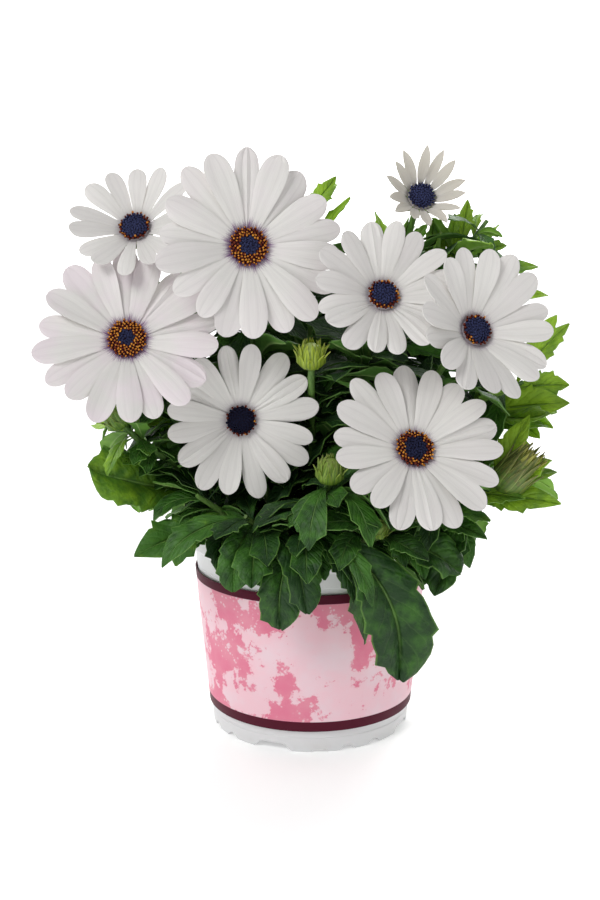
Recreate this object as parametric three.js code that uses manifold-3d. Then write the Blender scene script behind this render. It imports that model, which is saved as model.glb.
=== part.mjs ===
// A potted osteospermum (Cape daisy) in flower: a white nursery pot with a printed band, its soil,
// the leafy stems that stand in it, and the blooms that they carry.
// Millimetres, +Z up. The origin lies on the surface that the pot stands on, under the middle of the
// whole plant's box, and the pot's axis runs through it. The blooms face the side of -Y.
import * as THREE from "three";
import { mergeVertices } from "three/addons/utils/BufferGeometryUtils.js";
import Module from "manifold-3d";

const wasm = await Module();
wasm.setup();

// ---------------------------------------------------------------- driving dimensions

const seatGap = 0.3; // between two pieces that rest on each other

const pot = {
  segments: 32,
  height: 87,
  footRadius: 43.2,
  taper: 0.093, // growth of the wall's radius with height
  wall: 1.5,
  rimRadius: 52.5,
  rimHeight: 6,
  rimSlope: 1.2, // height of the slope under the rim
  floorBottom: 5, // underside of the floor, above the feet
  floorTop: 7,
  footRing: 5, // width of the ring that the pot stands on
  quarters: 4, // the gaps between the feet repeat in each quarter of the ring
  firstNotch: -111.7, // degrees from +X to the first gap
  notches: [
    { turn: 0, width: 10.5, height: 3.4 },
    { turn: 27, width: 6, height: 1 },
    { turn: 43, width: 3, height: 2.2 },
    { turn: 61, width: 3, height: 2.2 },
  ],
  drains: 6,
  drainRadius: 4,
  drainCircle: 24,
  drainSides: 8,
};
const band = { bottom: 9.8, top: 70.5, thickness: 0.6 };
const soil = { top: 78, holeRadius: 3.1, holeDepth: 15, holeSides: 6, mound: 2.5 };

const stemSides = 4;
const stemRadius = { foot: 2.2, head: 1.35, shoot: 0.9 };
const straightFoot = 6; // how far a stem rises straight out of the soil

const petal = {
  thickness: 0.7,
  layer: 2.6, // degrees that the upper and lower rays part by, each way
  width: 0.27, // of the ray's reach
  // Stations from the hub to the tip: share of the length, share of the half width
  along: [0.3, 0.66, 0.9, 1],
  half: [0.52, 1, 0.74, 0.28],
};
const smallPetal = { ...petal, along: [0.42, 0.84, 1], half: [0.68, 0.92, 0.28] };
const smallReach = 27; // blooms up to this reach have small rays
const hub = { radius: 6, thickness: 0.8 };
const calyx = { depth: 9, points: 5, waist: 3.2, cup: 6, spread: 9 };
// Shares of the eye's radius: foot under its rim, rings of florets, crown.
const disc = { height: 2.6, rim: 0.7, floret: 0.9, foot: 0.9, rings: [0.78, 0.5], crown: 0.12, segments: 14 };

// Leaf blades: shares of the length from the stalk, with each side's half width there.
const plainBlade = {
  along: [0, 0.3, 0.62, 0.84, 1],
  left: [0.05, 0.42, 1, 0.7, 0.1],
  right: [0.05, 0.48, 0.9, 0.76, 0.1],
};
const pointedBlade = {
  along: [0, 0.28, 0.5, 0.56, 0.8, 1],
  left: [0.05, 0.46, 1, 0.88, 0.6, 0.05],
  right: [0.05, 0.4, 0.92, 0.88, 0.64, 0.05],
};
const broadBlade = {
  along: [0, 0.3, 0.54, 0.6, 0.85, 1],
  left: [0.05, 0.42, 0.96, 0.8, 0.9, 0.12],
  right: [0.05, 0.38, 0.9, 0.86, 0.8, 0.12],
};
const leafThickness = 0.7;

// Blooms. at: centre of the ray plane. turn: degrees to the right of -Y. tilt: degrees above level.
// lift: how far the rays rise out of that plane. arch: how far each bends back over its length.
const blooms = [
  {
    name: "bloom_1", at: [-24.4, -46, 209.6], turn: 15, tilt: 16, root: [-8, -4],
    reach: 37, rays: 18, lift: 9, arch: 16, eye: 7.4,
  },
  {
    name: "bloom_2", at: [-71.9, -48, 173.7], turn: 5, tilt: 26, root: [-30, -13],
    reach: 36, rays: 18, lift: 10, arch: 18, eye: 7.4,
  },
  {
    name: "bloom_3", at: [-28.1, -38, 140.3], turn: 3, tilt: 4, root: [-15, -20],
    reach: 31.5, rays: 16, lift: 8, arch: 14, eye: 5.9,
  },
  {
    name: "bloom_4", at: [27.9, -51, 191], turn: 7, tilt: 28, root: [10, -14],
    reach: 29, rays: 16, lift: 20, arch: 20, eye: 5.8,
  },
  {
    name: "bloom_5", at: [62.9, -57, 178.1], turn: 25, tilt: 22, root: [29, -7],
    reach: 32, rays: 16, lift: 27, arch: 20, eye: 5.8,
  },
  {
    name: "bloom_6", at: [39.8, -64, 133.1], turn: 13, tilt: 33, root: [20, -24],
    reach: 34.5, rays: 18, lift: 12, arch: 16, eye: 7.2,
  },
  {
    name: "bloom_7", at: [-69.9, -31, 216.4], turn: -8, tilt: 34, root: [-24, 8],
    reach: 26, rays: 14, lift: 21, arch: 14, eye: 6,
  },
  {
    name: "bloom_8", at: [46.5, 5, 228.8], turn: 8, tilt: 23, root: [14, 8],
    reach: 22, rays: 14, lift: 46, arch: 10, eye: 5.4,
  },
];

// Shoots without a bloom: a stem to its tip, some with a bud.
// bud: its radius and height. lean: the bud's direction.
const shoots = [
  { name: "shoot_front_right", root: [10, -38], tip: [27, -54, 97], lean: [0.3, -0.7, 1], bud: [3.2, 7] },
  { name: "shoot_front", root: [-3, -32], tip: [7.2, -57, 119.5], lean: [0.1, -0.4, 1], bud: [4.8, 11] },
  { name: "shoot_front_low", root: [-4, -42], tip: [-1, -53, 100] },
  { name: "shoot_front_left", root: [-18, -36], tip: [-26, -49, 103] },
  { name: "shoot_left_low", root: [-30, -27], tip: [-46, -42, 110] },
  { name: "shoot_right_front", root: [24, -35], tip: [54, -47, 104] },
  { name: "shoot_right_low", root: [36, -18], tip: [78, -37, 113], lean: [0.75, -0.3, 0.9], bud: [6.8, 20] },
  { name: "shoot_left", root: [-39, -4], tip: [-77, -32, 137.5], lean: [-0.6, -0.5, 0.9], bud: [4.8, 10] },
  { name: "shoot_centre", root: [1, 3], tip: [0.2, -43, 163], lean: [0, -0.4, 1], bud: [5, 11] },
  { name: "shoot_right", root: [37, 6], tip: [90, -8, 152] },
  { name: "shoot_top", root: [2, 18], tip: [-3.4, 8, 222.6] },
  { name: "shoot_back_right", root: [24, 20], tip: [76, 14, 219] },
  { name: "shoot_back", root: [6, 34], tip: [24, 46, 190] },
  { name: "shoot_back_left", root: [-14, 30], tip: [-34, 48, 185] },
  { name: "shoot_left_back", root: [-34, 18], tip: [-78, 28, 160] },
];

// How the leaves stand on a stem. each: stem length for one leaf. from, to: places of the first and last.
const onBloomStems = { each: 30, from: 0.2, to: 0.76, length: 52, rise: [10, 50], droop: 58 };
const onShoots = { each: 16, from: 0.1, to: 0.97, length: 55, rise: [0, 62], droop: 64 };
const turnPerLeaf = 137.5;
const mound = { middle: [2, -2, 152], half: [100, 92, 88] }; // these leaves end inside this ellipsoid

// Large leaves at the front and the sides, each from its place on a stem to its tip.
const largeLeaves = [
  {
    stem: "shoot_front_low", at: 0.9, tip: [35.6, -68, 41], droop: 93,
    width: 29, roll: 46, blade: broadBlade,
  },
  {
    stem: "shoot_front_low", at: 0.97, tip: [24, -73, 73], droop: 80,
    width: 8, roll: 30, blade: plainBlade,
  },
  {
    stem: "shoot_front_low", at: 0.6, tip: [-11.5, -67, 61.6], droop: 110,
    width: 18, roll: -28, blade: broadBlade,
  },
  {
    stem: "shoot_front_low", at: 0.35, tip: [-20.5, -60, 77.5], droop: 100,
    width: 15, roll: -20, blade: broadBlade,
  },
  {
    stem: "shoot_front_low", at: 0.75, tip: [17, -63, 71.5], droop: 90,
    width: 12, roll: 30, blade: pointedBlade,
  },
  {
    stem: "shoot_left_low", at: 0.36, tip: [-36.5, -58, 82], droop: 84,
    width: 15, roll: -14, blade: pointedBlade,
  },
  {
    stem: "shoot_left_low", at: 0.45, tip: [-70.4, -54, 87.9], droop: 14,
    width: 19, roll: -48, blade: pointedBlade,
  },
  {
    stem: "shoot_left_low", at: 0.55, tip: [-50, -50, 87], droop: 50,
    width: 11, roll: -20, blade: pointedBlade,
  },
  {
    stem: "shoot_left", at: 0.3, tip: [-89.4, -42, 122.1], droop: -16,
    width: 27, roll: -58, blade: broadBlade,
  },
  {
    stem: "shoot_left", at: 0.9, tip: [-81.4, -47, 119.1], droop: 70,
    width: 9, roll: 20, blade: plainBlade,
  },
  {
    stem: "shoot_left", at: 0.72, tip: [-76.2, -38, 122.2], droop: 30,
    width: 8, roll: -30, blade: plainBlade,
  },
  {
    stem: "shoot_right", at: 0.95, tip: [108.6, -8, 176.6], droop: 22,
    width: 11, roll: 58, blade: pointedBlade,
  },
  {
    stem: "shoot_right", at: 0.95, tip: [105, 2, 179.3], droop: 16,
    width: 9, roll: 48, blade: plainBlade,
  },
  {
    stem: "shoot_right", at: 0.92, tip: [108.4, -14, 151.4], droop: 20,
    width: 13, roll: 60, blade: pointedBlade,
  },
  {
    stem: "shoot_right", at: 0.72, tip: [107.2, -22, 145], droop: 10,
    width: 17, roll: 62, blade: pointedBlade,
  },
  {
    stem: "shoot_right", at: 0.7, tip: [98.2, -30, 141.5], droop: -12,
    width: 10, roll: 40, blade: plainBlade,
  },
  {
    stem: "shoot_right", at: 0.7, tip: [79.8, 4, 149.3], droop: 20,
    width: 10, roll: 10, blade: plainBlade,
  },
  {
    stem: "shoot_right_low", at: 0.7, tip: [100.8, -34, 118.3], droop: 34,
    width: 9, roll: 52, blade: plainBlade,
  },
  {
    stem: "shoot_right_low", at: 0.6, tip: [100.9, -44, 107.2], droop: 34,
    width: 14, roll: 52, blade: pointedBlade,
  },
  {
    stem: "shoot_right_low", at: 0.42, tip: [86, -46, 110.1], droop: 40,
    width: 12, roll: 45, blade: pointedBlade,
  },
  {
    stem: "shoot_right_front", at: 0.9, tip: [71, -56, 103], droop: 50,
    width: 13, roll: 10, blade: pointedBlade,
  },
  {
    stem: "shoot_right_front", at: 0.7, tip: [69.6, -58, 95.9], droop: 46,
    width: 13, roll: 18, blade: pointedBlade,
  },
  {
    stem: "shoot_front_right", at: 0.9, tip: [59.2, -62, 83.5], droop: 56,
    width: 22, roll: 26, blade: broadBlade,
  },
  {
    stem: "shoot_front_right", at: 0.9, tip: [45.5, -72, 91], droop: 44,
    width: 13, roll: 10, blade: pointedBlade,
  },
  {
    stem: "shoot_top", at: 0.97, tip: [10.8, 16, 237.3], droop: 14,
    width: 10, roll: 30, blade: pointedBlade,
  },
  {
    stem: "shoot_top", at: 0.86, tip: [16.8, 14, 228.8], droop: 16,
    width: 6, roll: 30, blade: plainBlade,
  },
  {
    stem: "stem_8", at: 0.74, tip: [28.5, 34, 222.3], droop: 14,
    width: 7, roll: 0, blade: plainBlade,
  },
  {
    stem: "stem_8", at: 0.8, tip: [44.6, 34, 218.4], droop: 12,
    width: 6, roll: 0, blade: plainBlade,
  },
  {
    stem: "shoot_back_right", at: 0.74, tip: [57, 24, 218.1], droop: 12,
    width: 6, roll: 0, blade: plainBlade,
  },
  {
    stem: "shoot_back_right", at: 0.8, tip: [62.9, 22, 221.6], droop: 12,
    width: 6, roll: 0, blade: plainBlade,
  },
  {
    stem: "shoot_back_right", at: 0.86, tip: [68.4, 22, 227.6], droop: 14,
    width: 9, roll: -6, blade: pointedBlade,
  },
  {
    stem: "shoot_back_right", at: 0.8, tip: [83, 28, 216.8], droop: 12,
    width: 9, roll: 20, blade: pointedBlade,
  },
  {
    stem: "shoot_back_right", at: 0.88, tip: [84.4, 12, 208.1], droop: 16,
    width: 6, roll: 55, blade: plainBlade,
  },
  {
    stem: "shoot_back_right", at: 0.78, tip: [97.8, 8, 199.4], droop: 20,
    width: 8, roll: 58, blade: plainBlade,
  },
  {
    stem: "shoot_back_right", at: 0.7, tip: [101.4, 4, 187.3], droop: 22,
    width: 8, roll: 58, blade: plainBlade,
  },
  {
    stem: "shoot_front", at: 0.5, tip: [-20.1, -66, 103.3], droop: 44,
    width: 14, roll: 0, blade: pointedBlade,
  },
  {
    stem: "shoot_front", at: 0.6, tip: [26, -72, 104], droop: 44,
    width: 12, roll: 0, blade: pointedBlade,
  },
  {
    stem: "shoot_back", at: 0.4, tip: [26, 89.4, 141], droop: 60,
    width: 20, roll: 0, blade: broadBlade,
  },
  {
    stem: "shoot_back_left", at: 0.2, tip: [-24, 88, 104], droop: 80,
    width: 20, roll: 0, blade: broadBlade,
  },
  {
    stem: "shoot_front_left", at: 0.85, tip: [-36.8, -68, 98.3], droop: 50,
    width: 14, roll: 0, blade: pointedBlade,
  },
];

// ---------------------------------------------------------------- vectors and chance

const radians = THREE.MathUtils.degToRad;
const add = (a, b, k = 1) => [a[0] + k * b[0], a[1] + k * b[1], a[2] + k * b[2]];
const dot = (a, b) => a[0] * b[0] + a[1] * b[1] + a[2] * b[2];
const mix = (a, b, share) => a + (b - a) * share;

function unit(a) {
  const length = Math.sqrt(dot(a, a));
  return [a[0] / length, a[1] / length, a[2] / length];
}

function cross(a, b) {
  return [a[1] * b[2] - a[2] * b[1], a[2] * b[0] - a[0] * b[2], a[0] * b[1] - a[1] * b[0]];
}

// A seeded row of numbers from 0 to 1, the same on every run.
function chance(seed) {
  let state = seed;
  return () => {
    state = (state * 1664525 + 1013904223) % 4294967296;
    return state / 4294967296;
  };
}

// ---------------------------------------------------------------- solids

function geometryOf(points, faces) {
  const geometry = new THREE.BufferGeometry();
  geometry.setAttribute("position", new THREE.Float32BufferAttribute(points.flat(), 3));
  geometry.setIndex(faces.flat());
  return geometry;
}

function solidOf(geometry) {
  const bare = geometry.clone();
  bare.deleteAttribute("normal");
  bare.deleteAttribute("uv");
  const merged = mergeVertices(bare, 1e-4);
  return new wasm.Manifold(
    new wasm.Mesh({
      numProp: 3,
      vertProperties: merged.attributes.position.array,
      triVerts: new Uint32Array(merged.index.array),
    }),
  );
}

function geometryOfSolid(solid) {
  const mesh = solid.getMesh();
  const geometry = new THREE.BufferGeometry();
  geometry.setAttribute("position", new THREE.BufferAttribute(mesh.vertProperties, 3));
  geometry.setIndex(new THREE.BufferAttribute(mesh.triVerts, 1));
  return geometry;
}

// A closed solid through rings with the same number of points each, anticlockwise seen from the end.
function loft(rings) {
  const sides = rings[0].length;
  const faces = [];
  for (let ring = 0; ring < rings.length - 1; ring += 1) {
    for (let side = 0; side < sides; side += 1) {
      const here = ring * sides + side;
      const next = ring * sides + ((side + 1) % sides);
      faces.push([here, next, next + sides], [here, next + sides, here + sides]);
    }
  }
  const last = (rings.length - 1) * sides;
  for (let side = 1; side < sides - 1; side += 1) {
    faces.push([0, side + 1, side], [last, last + side, last + side + 1]);
  }
  return geometryOf(rings.flat(), faces);
}

function turned(profile, segments) {
  const points = profile.map(([r, z]) => new THREE.Vector2(r, z));
  return new THREE.LatheGeometry(points, segments).rotateX(Math.PI / 2);
}

// A thin blade from rows of two edge points and the row's upward direction. Both faces have the
// same diagonals.
function bladeGeometry(rows, thickness) {
  const points = [];
  for (const { left, right, up } of rows) {
    points.push(add(left, up, thickness / 2), add(right, up, thickness / 2));
    points.push(add(left, up, -thickness / 2), add(right, up, -thickness / 2));
  }
  const faces = [[0, 3, 1], [0, 2, 3]];
  for (let row = 0; row < rows.length - 1; row += 1) {
    const [a, b, c, d] = [4 * row, 4 * row + 1, 4 * row + 2, 4 * row + 3];
    faces.push([a, b, b + 4], [a, b + 4, a + 4]); // upper face
    faces.push([c, d + 4, d], [c, c + 4, d + 4]); // lower face
    faces.push([a, c + 4, c], [a, a + 4, c + 4]); // left edge
    faces.push([b, d + 4, b + 4], [b, d, d + 4]); // right edge
  }
  const end = 4 * (rows.length - 1);
  faces.push([end, end + 1, end + 3], [end, end + 3, end + 2]);
  return geometryOf(points, faces);
}

// ---------------------------------------------------------------- pot, band and soil

const wallRadius = (z) => pot.footRadius + pot.taper * z;

function potSolid() {
  const rimBottom = pot.height - pot.rimHeight;
  const innerRadius = (z) => wallRadius(z) - pot.wall;
  const profile = [
    [0, pot.floorBottom],
    [pot.footRadius - pot.footRing, pot.floorBottom],
    [pot.footRadius - pot.footRing, 0],
    [pot.footRadius, 0],
    [wallRadius(rimBottom - pot.rimSlope), rimBottom - pot.rimSlope],
    [pot.rimRadius, rimBottom],
    [pot.rimRadius, pot.height],
    [innerRadius(pot.height), pot.height],
    [innerRadius(pot.floorTop), pot.floorTop],
    [0, pot.floorTop],
  ];
  let solid = solidOf(turned(profile, pot.segments));
  for (let quarter = 0; quarter < pot.quarters; quarter += 1) {
    for (const { turn, width, height } of pot.notches) {
      const cutter = new THREE.BoxGeometry(2 * pot.footRing, width, 2 * height)
        .translate(pot.footRadius - pot.footRing / 2, 0, 0)
        .rotateZ(radians(pot.firstNotch + turn + (360 * quarter) / pot.quarters));
      solid = solid.subtract(solidOf(cutter));
    }
  }
  for (let drain = 0; drain < pot.drains; drain += 1) {
    const depth = 4 * (pot.floorTop - pot.floorBottom);
    const cutter = new THREE.CylinderGeometry(pot.drainRadius, pot.drainRadius, depth, pot.drainSides)
      .rotateX(Math.PI / 2)
      .translate(pot.drainCircle, 0, (pot.floorBottom + pot.floorTop) / 2)
      .rotateZ((drain * 2 * Math.PI) / pot.drains);
    solid = solid.subtract(solidOf(cutter));
  }
  return solid;
}

// The printed band is a thin ring round the pot's wall.
function bandSolid() {
  const inner = (z) => wallRadius(z) + seatGap;
  const outer = (z) => inner(z) + band.thickness;
  const profile = [
    [inner(band.bottom), band.bottom],
    [outer(band.bottom), band.bottom],
    [outer(band.top), band.top],
    [inner(band.top), band.top],
    [inner(band.bottom), band.bottom],
  ];
  return solidOf(turned(profile, pot.segments));
}

function soilSolid(roots) {
  const radius = (z) => wallRadius(z) - pot.wall - seatGap;
  const bottom = pot.floorTop + seatGap;
  const profile = [
    [0, bottom],
    [radius(bottom), bottom],
    [radius(soil.top), soil.top],
    [0, soil.top + soil.mound],
  ];
  let solid = solidOf(turned(profile, pot.segments));
  for (const [x, y] of roots) {
    const depth = 2 * soil.holeDepth;
    const cutter = new THREE.CylinderGeometry(soil.holeRadius, soil.holeRadius, depth, soil.holeSides)
      .rotateX(Math.PI / 2)
      .translate(x, y, soil.top - soil.holeDepth + depth / 2);
    solid = solid.subtract(solidOf(cutter));
  }
  return solid;
}

// ---------------------------------------------------------------- blooms

// The bloom's own axes: across, upwards in the ray plane, and out of its face.
function facing(bloom) {
  const [turn, tilt] = [radians(bloom.turn), radians(bloom.tilt)];
  const out = [Math.sin(turn) * Math.cos(tilt), -Math.cos(turn) * Math.cos(tilt), Math.sin(tilt)];
  const across = [Math.cos(turn), Math.sin(turn), 0];
  return { across, up: cross(across, out).map((v) => -v), out };
}

function placer(bloom) {
  const { across, up, out } = facing(bloom);
  return ([x, y, z]) => add(add(add(bloom.at, across, x), up, y), out, z);
}

// Where a ray's midline is at a share of its length, in the bloom's axes: distance out, height, and slope.
function rayLine(bloom, lift, reach, share) {
  const arch = radians(bloom.arch);
  const start = radians(lift) + arch / 2;
  const length = reach - hub.radius;
  return {
    out: hub.radius + (length * (Math.sin(start) - Math.sin(start - arch * share))) / arch,
    height: (length * (Math.cos(start - arch * share) - Math.cos(start))) / arch,
    slope: start - arch * share,
  };
}

// What sets one ray apart from the next: degrees, and a share of the reach.
const raySpread = { angle: 2.4, lift: 1.6, reach: 0.1, roll: 8 };
function rayOf(bloom, index, random) {
  const layer = index % 2 ? petal.layer : -petal.layer;
  return {
    angle: ((index + 0.5) * 360) / bloom.rays + raySpread.angle * (random() - 0.5),
    lift: bloom.lift + layer + raySpread.lift * (random() - 0.5),
    reach: bloom.reach * (1 + raySpread.reach * (random() - 0.5)),
    roll: raySpread.roll * (random() - 0.5),
  };
}

// The rays are one body: a thin hub whose sides run out into the blades.
function raysGeometry(bloom) {
  const place = placer(bloom);
  const random = chance(bloom.rays * 131 + Math.round(bloom.reach * 10));
  const halfThick = hub.thickness / 2;
  const shape = bloom.reach > smallReach ? petal : smallPetal;
  const points = [[0, 0, halfThick], [0, 0, -halfThick]];
  const faces = [];
  const corner = (k) => 2 + 2 * (k % bloom.rays);
  for (let k = 0; k < bloom.rays; k += 1) {
    const angle = (k * 2 * Math.PI) / bloom.rays;
    const [x, y] = [hub.radius * Math.cos(angle), hub.radius * Math.sin(angle)];
    points.push([x, y, halfThick], [x, y, -halfThick]);
    faces.push([0, corner(k), corner(k + 1)], [1, corner(k + 1) + 1, corner(k) + 1]);
  }
  for (let k = 0; k < bloom.rays; k += 1) {
    const ray = rayOf(bloom, k, random);
    const [angle, roll] = [radians(ray.angle), radians(ray.roll)];
    // Each row holds the right upper, left upper, right lower and left lower corner.
    let row = [corner(k), corner(k + 1), corner(k) + 1, corner(k + 1) + 1];
    shape.along.forEach((share, station) => {
      const line = rayLine(bloom, ray.lift, ray.reach, share);
      const outward = [Math.cos(angle), Math.sin(angle), 0];
      const side = [-Math.sin(angle), Math.cos(angle), 0];
      const normal = add([0, 0, Math.cos(line.slope)], outward, -Math.sin(line.slope));
      const centre = add([0, 0, line.height], outward, line.out);
      const half = (shape.half[station] * shape.width * ray.reach) / 2;
      const turnedSide = add([0, 0, 0], add(side, normal, Math.tan(roll)), half);
      const first = points.length;
      for (const level of [shape.thickness / 2, -shape.thickness / 2]) {
        points.push(add(add(centre, turnedSide, -1), normal, level));
        points.push(add(add(centre, turnedSide, 1), normal, level));
      }
      const next = [first, first + 1, first + 2, first + 3];
      const [a, b, c, d] = row;
      const [e, f, g, h] = next;
      faces.push([a, e, f], [a, f, b], [c, h, g], [c, d, h]);
      faces.push([a, c, g], [a, g, e], [b, f, h], [b, h, d]);
      row = next;
    });
    const [a, b, c, d] = row;
    faces.push([a, c, d], [a, d, b]);
  }
  return geometryOf(points.map(place), faces);
}

// The eye of a bloom: a low dome of florets, raised in turn from its surface.
function eyeGeometry(bloom) {
  const place = placer(bloom);
  const base = hub.thickness / 2 + seatGap;
  const ringAt = (share, heightOf) => {
    const ring = [];
    const radius = bloom.eye * share;
    for (let k = 0; k < disc.segments; k += 1) {
      const angle = (k * 2 * Math.PI) / disc.segments;
      ring.push([radius * Math.cos(angle), radius * Math.sin(angle), base + heightOf(k)]);
    }
    return ring;
  };
  const rings = [ringAt(disc.foot, () => 0), ringAt(1, () => disc.rim)];
  disc.rings.forEach((share, index) => {
    const dome = disc.height * Math.sqrt(1 - share * share);
    rings.push(ringAt(share, (k) => dome + ((k + index) % 2 ? disc.floret : 0)));
  });
  rings.push(ringAt(disc.crown, () => disc.height));
  return loft(rings.map((ring) => ring.map(place)));
}

// ---------------------------------------------------------------- stems

// The line of a stem, as points with even steps: straight out of the soil, then curving to its end.
// The foot and the end pull at the curve by shares of the span.
const pull = { foot: 0.4, end: 0.32 };
const stemStep = 20;
function stemLine(plant) {
  const [x, y] = plant.root;
  const start = [x, y, soil.top + straightFoot];
  let end = plant.tip;
  let arrive = plant.lean;
  if (plant.at) {
    const { out } = facing(plant);
    end = add(plant.at, out, -(calyx.depth + hub.thickness / 2 + seatGap));
    arrive = add(out, [0, 0, 0.5]);
  }
  arrive = unit(arrive ?? [end[0] - x, end[1] - y, (end[2] - soil.top) / 2]);
  const span = Math.sqrt(dot(add(end, start, -1), add(end, start, -1)));
  const curve = new THREE.CubicBezierCurve3(
    new THREE.Vector3(...start),
    new THREE.Vector3(...add(start, [0, 0, 1], pull.foot * span)),
    new THREE.Vector3(...add(end, arrive, -pull.end * span)),
    new THREE.Vector3(...end),
  );
  const steps = Math.max(4, Math.round(span / stemStep));
  const line = [[x, y, soil.top - soil.holeDepth + seatGap]];
  for (let step = 0; step <= steps; step += 1) line.push(curve.getPoint(step / steps).toArray());
  return { line, span, end, arrive, pointAt: (share) => curve.getPoint(share).toArray() };
}

// A tapering stem round a line. Its section keeps facing one way, so that it doesn't twist.
function stemGeometry(line, footRadius, endRadius) {
  const rings = line.map((point, index) => {
    const before = line[Math.max(0, index - 1)];
    const after = line[Math.min(line.length - 1, index + 1)];
    const along = unit(add(after, before, -1));
    const across = unit(cross([0, 1, 0.01], along));
    const other = cross(along, across);
    const radius = mix(footRadius, endRadius, index / (line.length - 1));
    const ring = [];
    for (let k = 0; k < stemSides; k += 1) {
      const angle = (k * 2 * Math.PI) / stemSides;
      ring.push(add(add(point, across, radius * Math.cos(angle)), other, radius * Math.sin(angle)));
    }
    return ring;
  });
  return loft(rings);
}

// The green cup under a bloom: it widens from the stalk and ends in pointed bracts.
function calyxGeometry(bloom) {
  const place = placer(bloom);
  const top = -(hub.thickness / 2 + seatGap);
  const stalk = stemRadius.head;
  // Height below the rays, radius between the bracts, radius at their points
  const rows = [
    [-calyx.depth - 1, stalk * 0.9, stalk * 0.9],
    [-calyx.depth + 2.5, calyx.waist, calyx.waist],
    [-3, calyx.cup, calyx.cup],
    [-0.4, calyx.cup * 0.95, calyx.spread],
    [-0.4, 1, 1],
  ];
  const rings = rows.map(([height, between, tip]) => {
    const ring = [];
    for (let k = 0; k < 2 * calyx.points; k += 1) {
      const angle = (k * Math.PI) / calyx.points;
      const radius = k % 2 ? tip : between;
      ring.push([radius * Math.cos(angle), radius * Math.sin(angle), top + height + 0.4]);
    }
    return ring;
  });
  return loft(rings.map((ring) => ring.map(place)));
}

// A closed bud on the end of a shoot, its bracts standing out at the top.
function budGeometry(tip, along, [radius, height]) {
  const across = unit(cross([0, 1, 0.01], along));
  const other = cross(along, across);
  const points = 5;
  // Share of the height, radius between the bracts, radius at their points, further rise of the points
  const rows = [
    [-0.12, 0.2, 0.2, 0],
    [0.06, 0.7, 0.7, 0],
    [0.36, 1, 1, 0],
    [0.66, 0.86, 0.98, 0],
    [0.86, 0.5, 0.8, 0.14],
    [0.8, 0.15, 0.15, 0],
  ];
  const rings = rows.map(([share, between, point, rise]) => {
    const ring = [];
    for (let k = 0; k < 2 * points; k += 1) {
      const angle = (k * Math.PI) / points;
      const out = radius * (k % 2 ? point : between);
      const up = height * (share + (k % 2 ? rise : 0));
      const centre = add(tip, along, up);
      ring.push(add(add(centre, across, out * Math.cos(angle)), other, out * Math.sin(angle)));
    }
    return ring;
  });
  return loft(rings);
}

// ---------------------------------------------------------------- leaves

// A leaf's frame at a share of its length. It points along turn and arches down by droop from rise.
function leafAt(leaf, share) {
  const [turn, rise, droop] = [radians(leaf.turn), radians(leaf.rise), radians(leaf.droop)];
  const outward = [Math.cos(turn), Math.sin(turn), 0];
  const slope = rise - droop * share;
  const out = (leaf.length * (Math.sin(rise) - Math.sin(slope))) / droop;
  const up = (leaf.length * (Math.cos(slope) - Math.cos(rise))) / droop;
  const centre = add(add(leaf.base, outward, out), [0, 0, 1], up);
  const normal = add([0, 0, Math.cos(slope)], outward, -Math.sin(slope));
  const flat = [-Math.sin(turn), Math.cos(turn), 0];
  const roll = radians(leaf.roll);
  const side = add([0, 0, 0], add(flat, normal, Math.tan(roll)), Math.cos(roll));
  const face = add([0, 0, 0], add(normal, flat, -Math.tan(roll)), Math.cos(roll));
  return { centre, side, face };
}

// The arch that takes a leaf from its base to a tip.
function leafTo(base, { tip, droop, width, roll, blade }) {
  const [x, y, z] = add(tip, base, -1);
  const level = Math.sqrt(x * x + y * y);
  const halfDroop = radians(droop) / 2;
  return {
    base,
    turn: (Math.atan2(y, x) * 180) / Math.PI,
    rise: (Math.atan2(z, level) * 180) / Math.PI + droop / 2,
    length: (Math.sqrt(level * level + z * z) * halfDroop) / Math.sin(halfDroop),
    droop,
    width,
    roll,
    blade,
  };
}

// The edges of a leaf at one of its stations.
function leafRow(leaf, station) {
  const { centre, side, face } = leafAt(leaf, leaf.blade.along[station]);
  return {
    left: add(centre, side, (leaf.blade.left[station] * leaf.width) / 2),
    right: add(centre, side, (-leaf.blade.right[station] * leaf.width) / 2),
    up: face,
  };
}

const leafRows = (leaf) => leaf.blade.along.map((share, station) => leafRow(leaf, station));
const leafGeometry = (leaf) => bladeGeometry(leafRows(leaf), leafThickness);
const between = (a, b, share) => add(a, add(b, a, -1), share);

// Points spread over a leaf, this far apart, past its stalk.
const sampleStep = 1.8;
function leafSamples(leaf) {
  const samples = [];
  const rows = leafRows(leaf);
  for (let station = 1; station < rows.length; station += 1) {
    const [from, to] = [rows[station - 1], rows[station]];
    const span = (leaf.blade.along[station] - leaf.blade.along[station - 1]) * leaf.length;
    const steps = Math.max(1, Math.ceil(span / sampleStep));
    for (let step = station === 1 ? Math.ceil(steps * 0.4) : 1; step <= steps; step += 1) {
      const left = between(from.left, to.left, step / steps);
      const right = between(from.right, to.right, step / steps);
      const across = add(right, left, -1);
      const columns = Math.max(1, Math.ceil(Math.sqrt(dot(across, across)) / sampleStep));
      for (let column = 0; column <= columns; column += 1) {
        samples.push(add(left, across, column / columns));
      }
    }
  }
  return samples;
}

// ---------------------------------------------------------------- keeping the pieces clear of each other

// Distances between the sample points of two leaves or stems.
const clearOfOthers = 3.4;
const clearOfOwn = 1.5;
// Space round the pot: over the ground, over the rim, outside, inside the wall, above the soil.
const potSpace = { ground: 6, above: 1.8, outside: 2.2, inside: 3.5, soil: 1.5, underRim: 4 };
// Space round a bloom: behind its rays, before its face, beyond their tips, round and under its calyx.
const bloomSpace = { behind: 4.5, before: 60, stretch: 1.05, beyond: 2, underCalyx: 4 };
const stalkSamples = 60;
const budSamples = 16;
const occupied = new Map(); // cell -> points in it, each with its owner

function cellOf(...place) {
  return place.map((along) => Math.floor(along / clearOfOthers)).join(" ");
}

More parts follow.
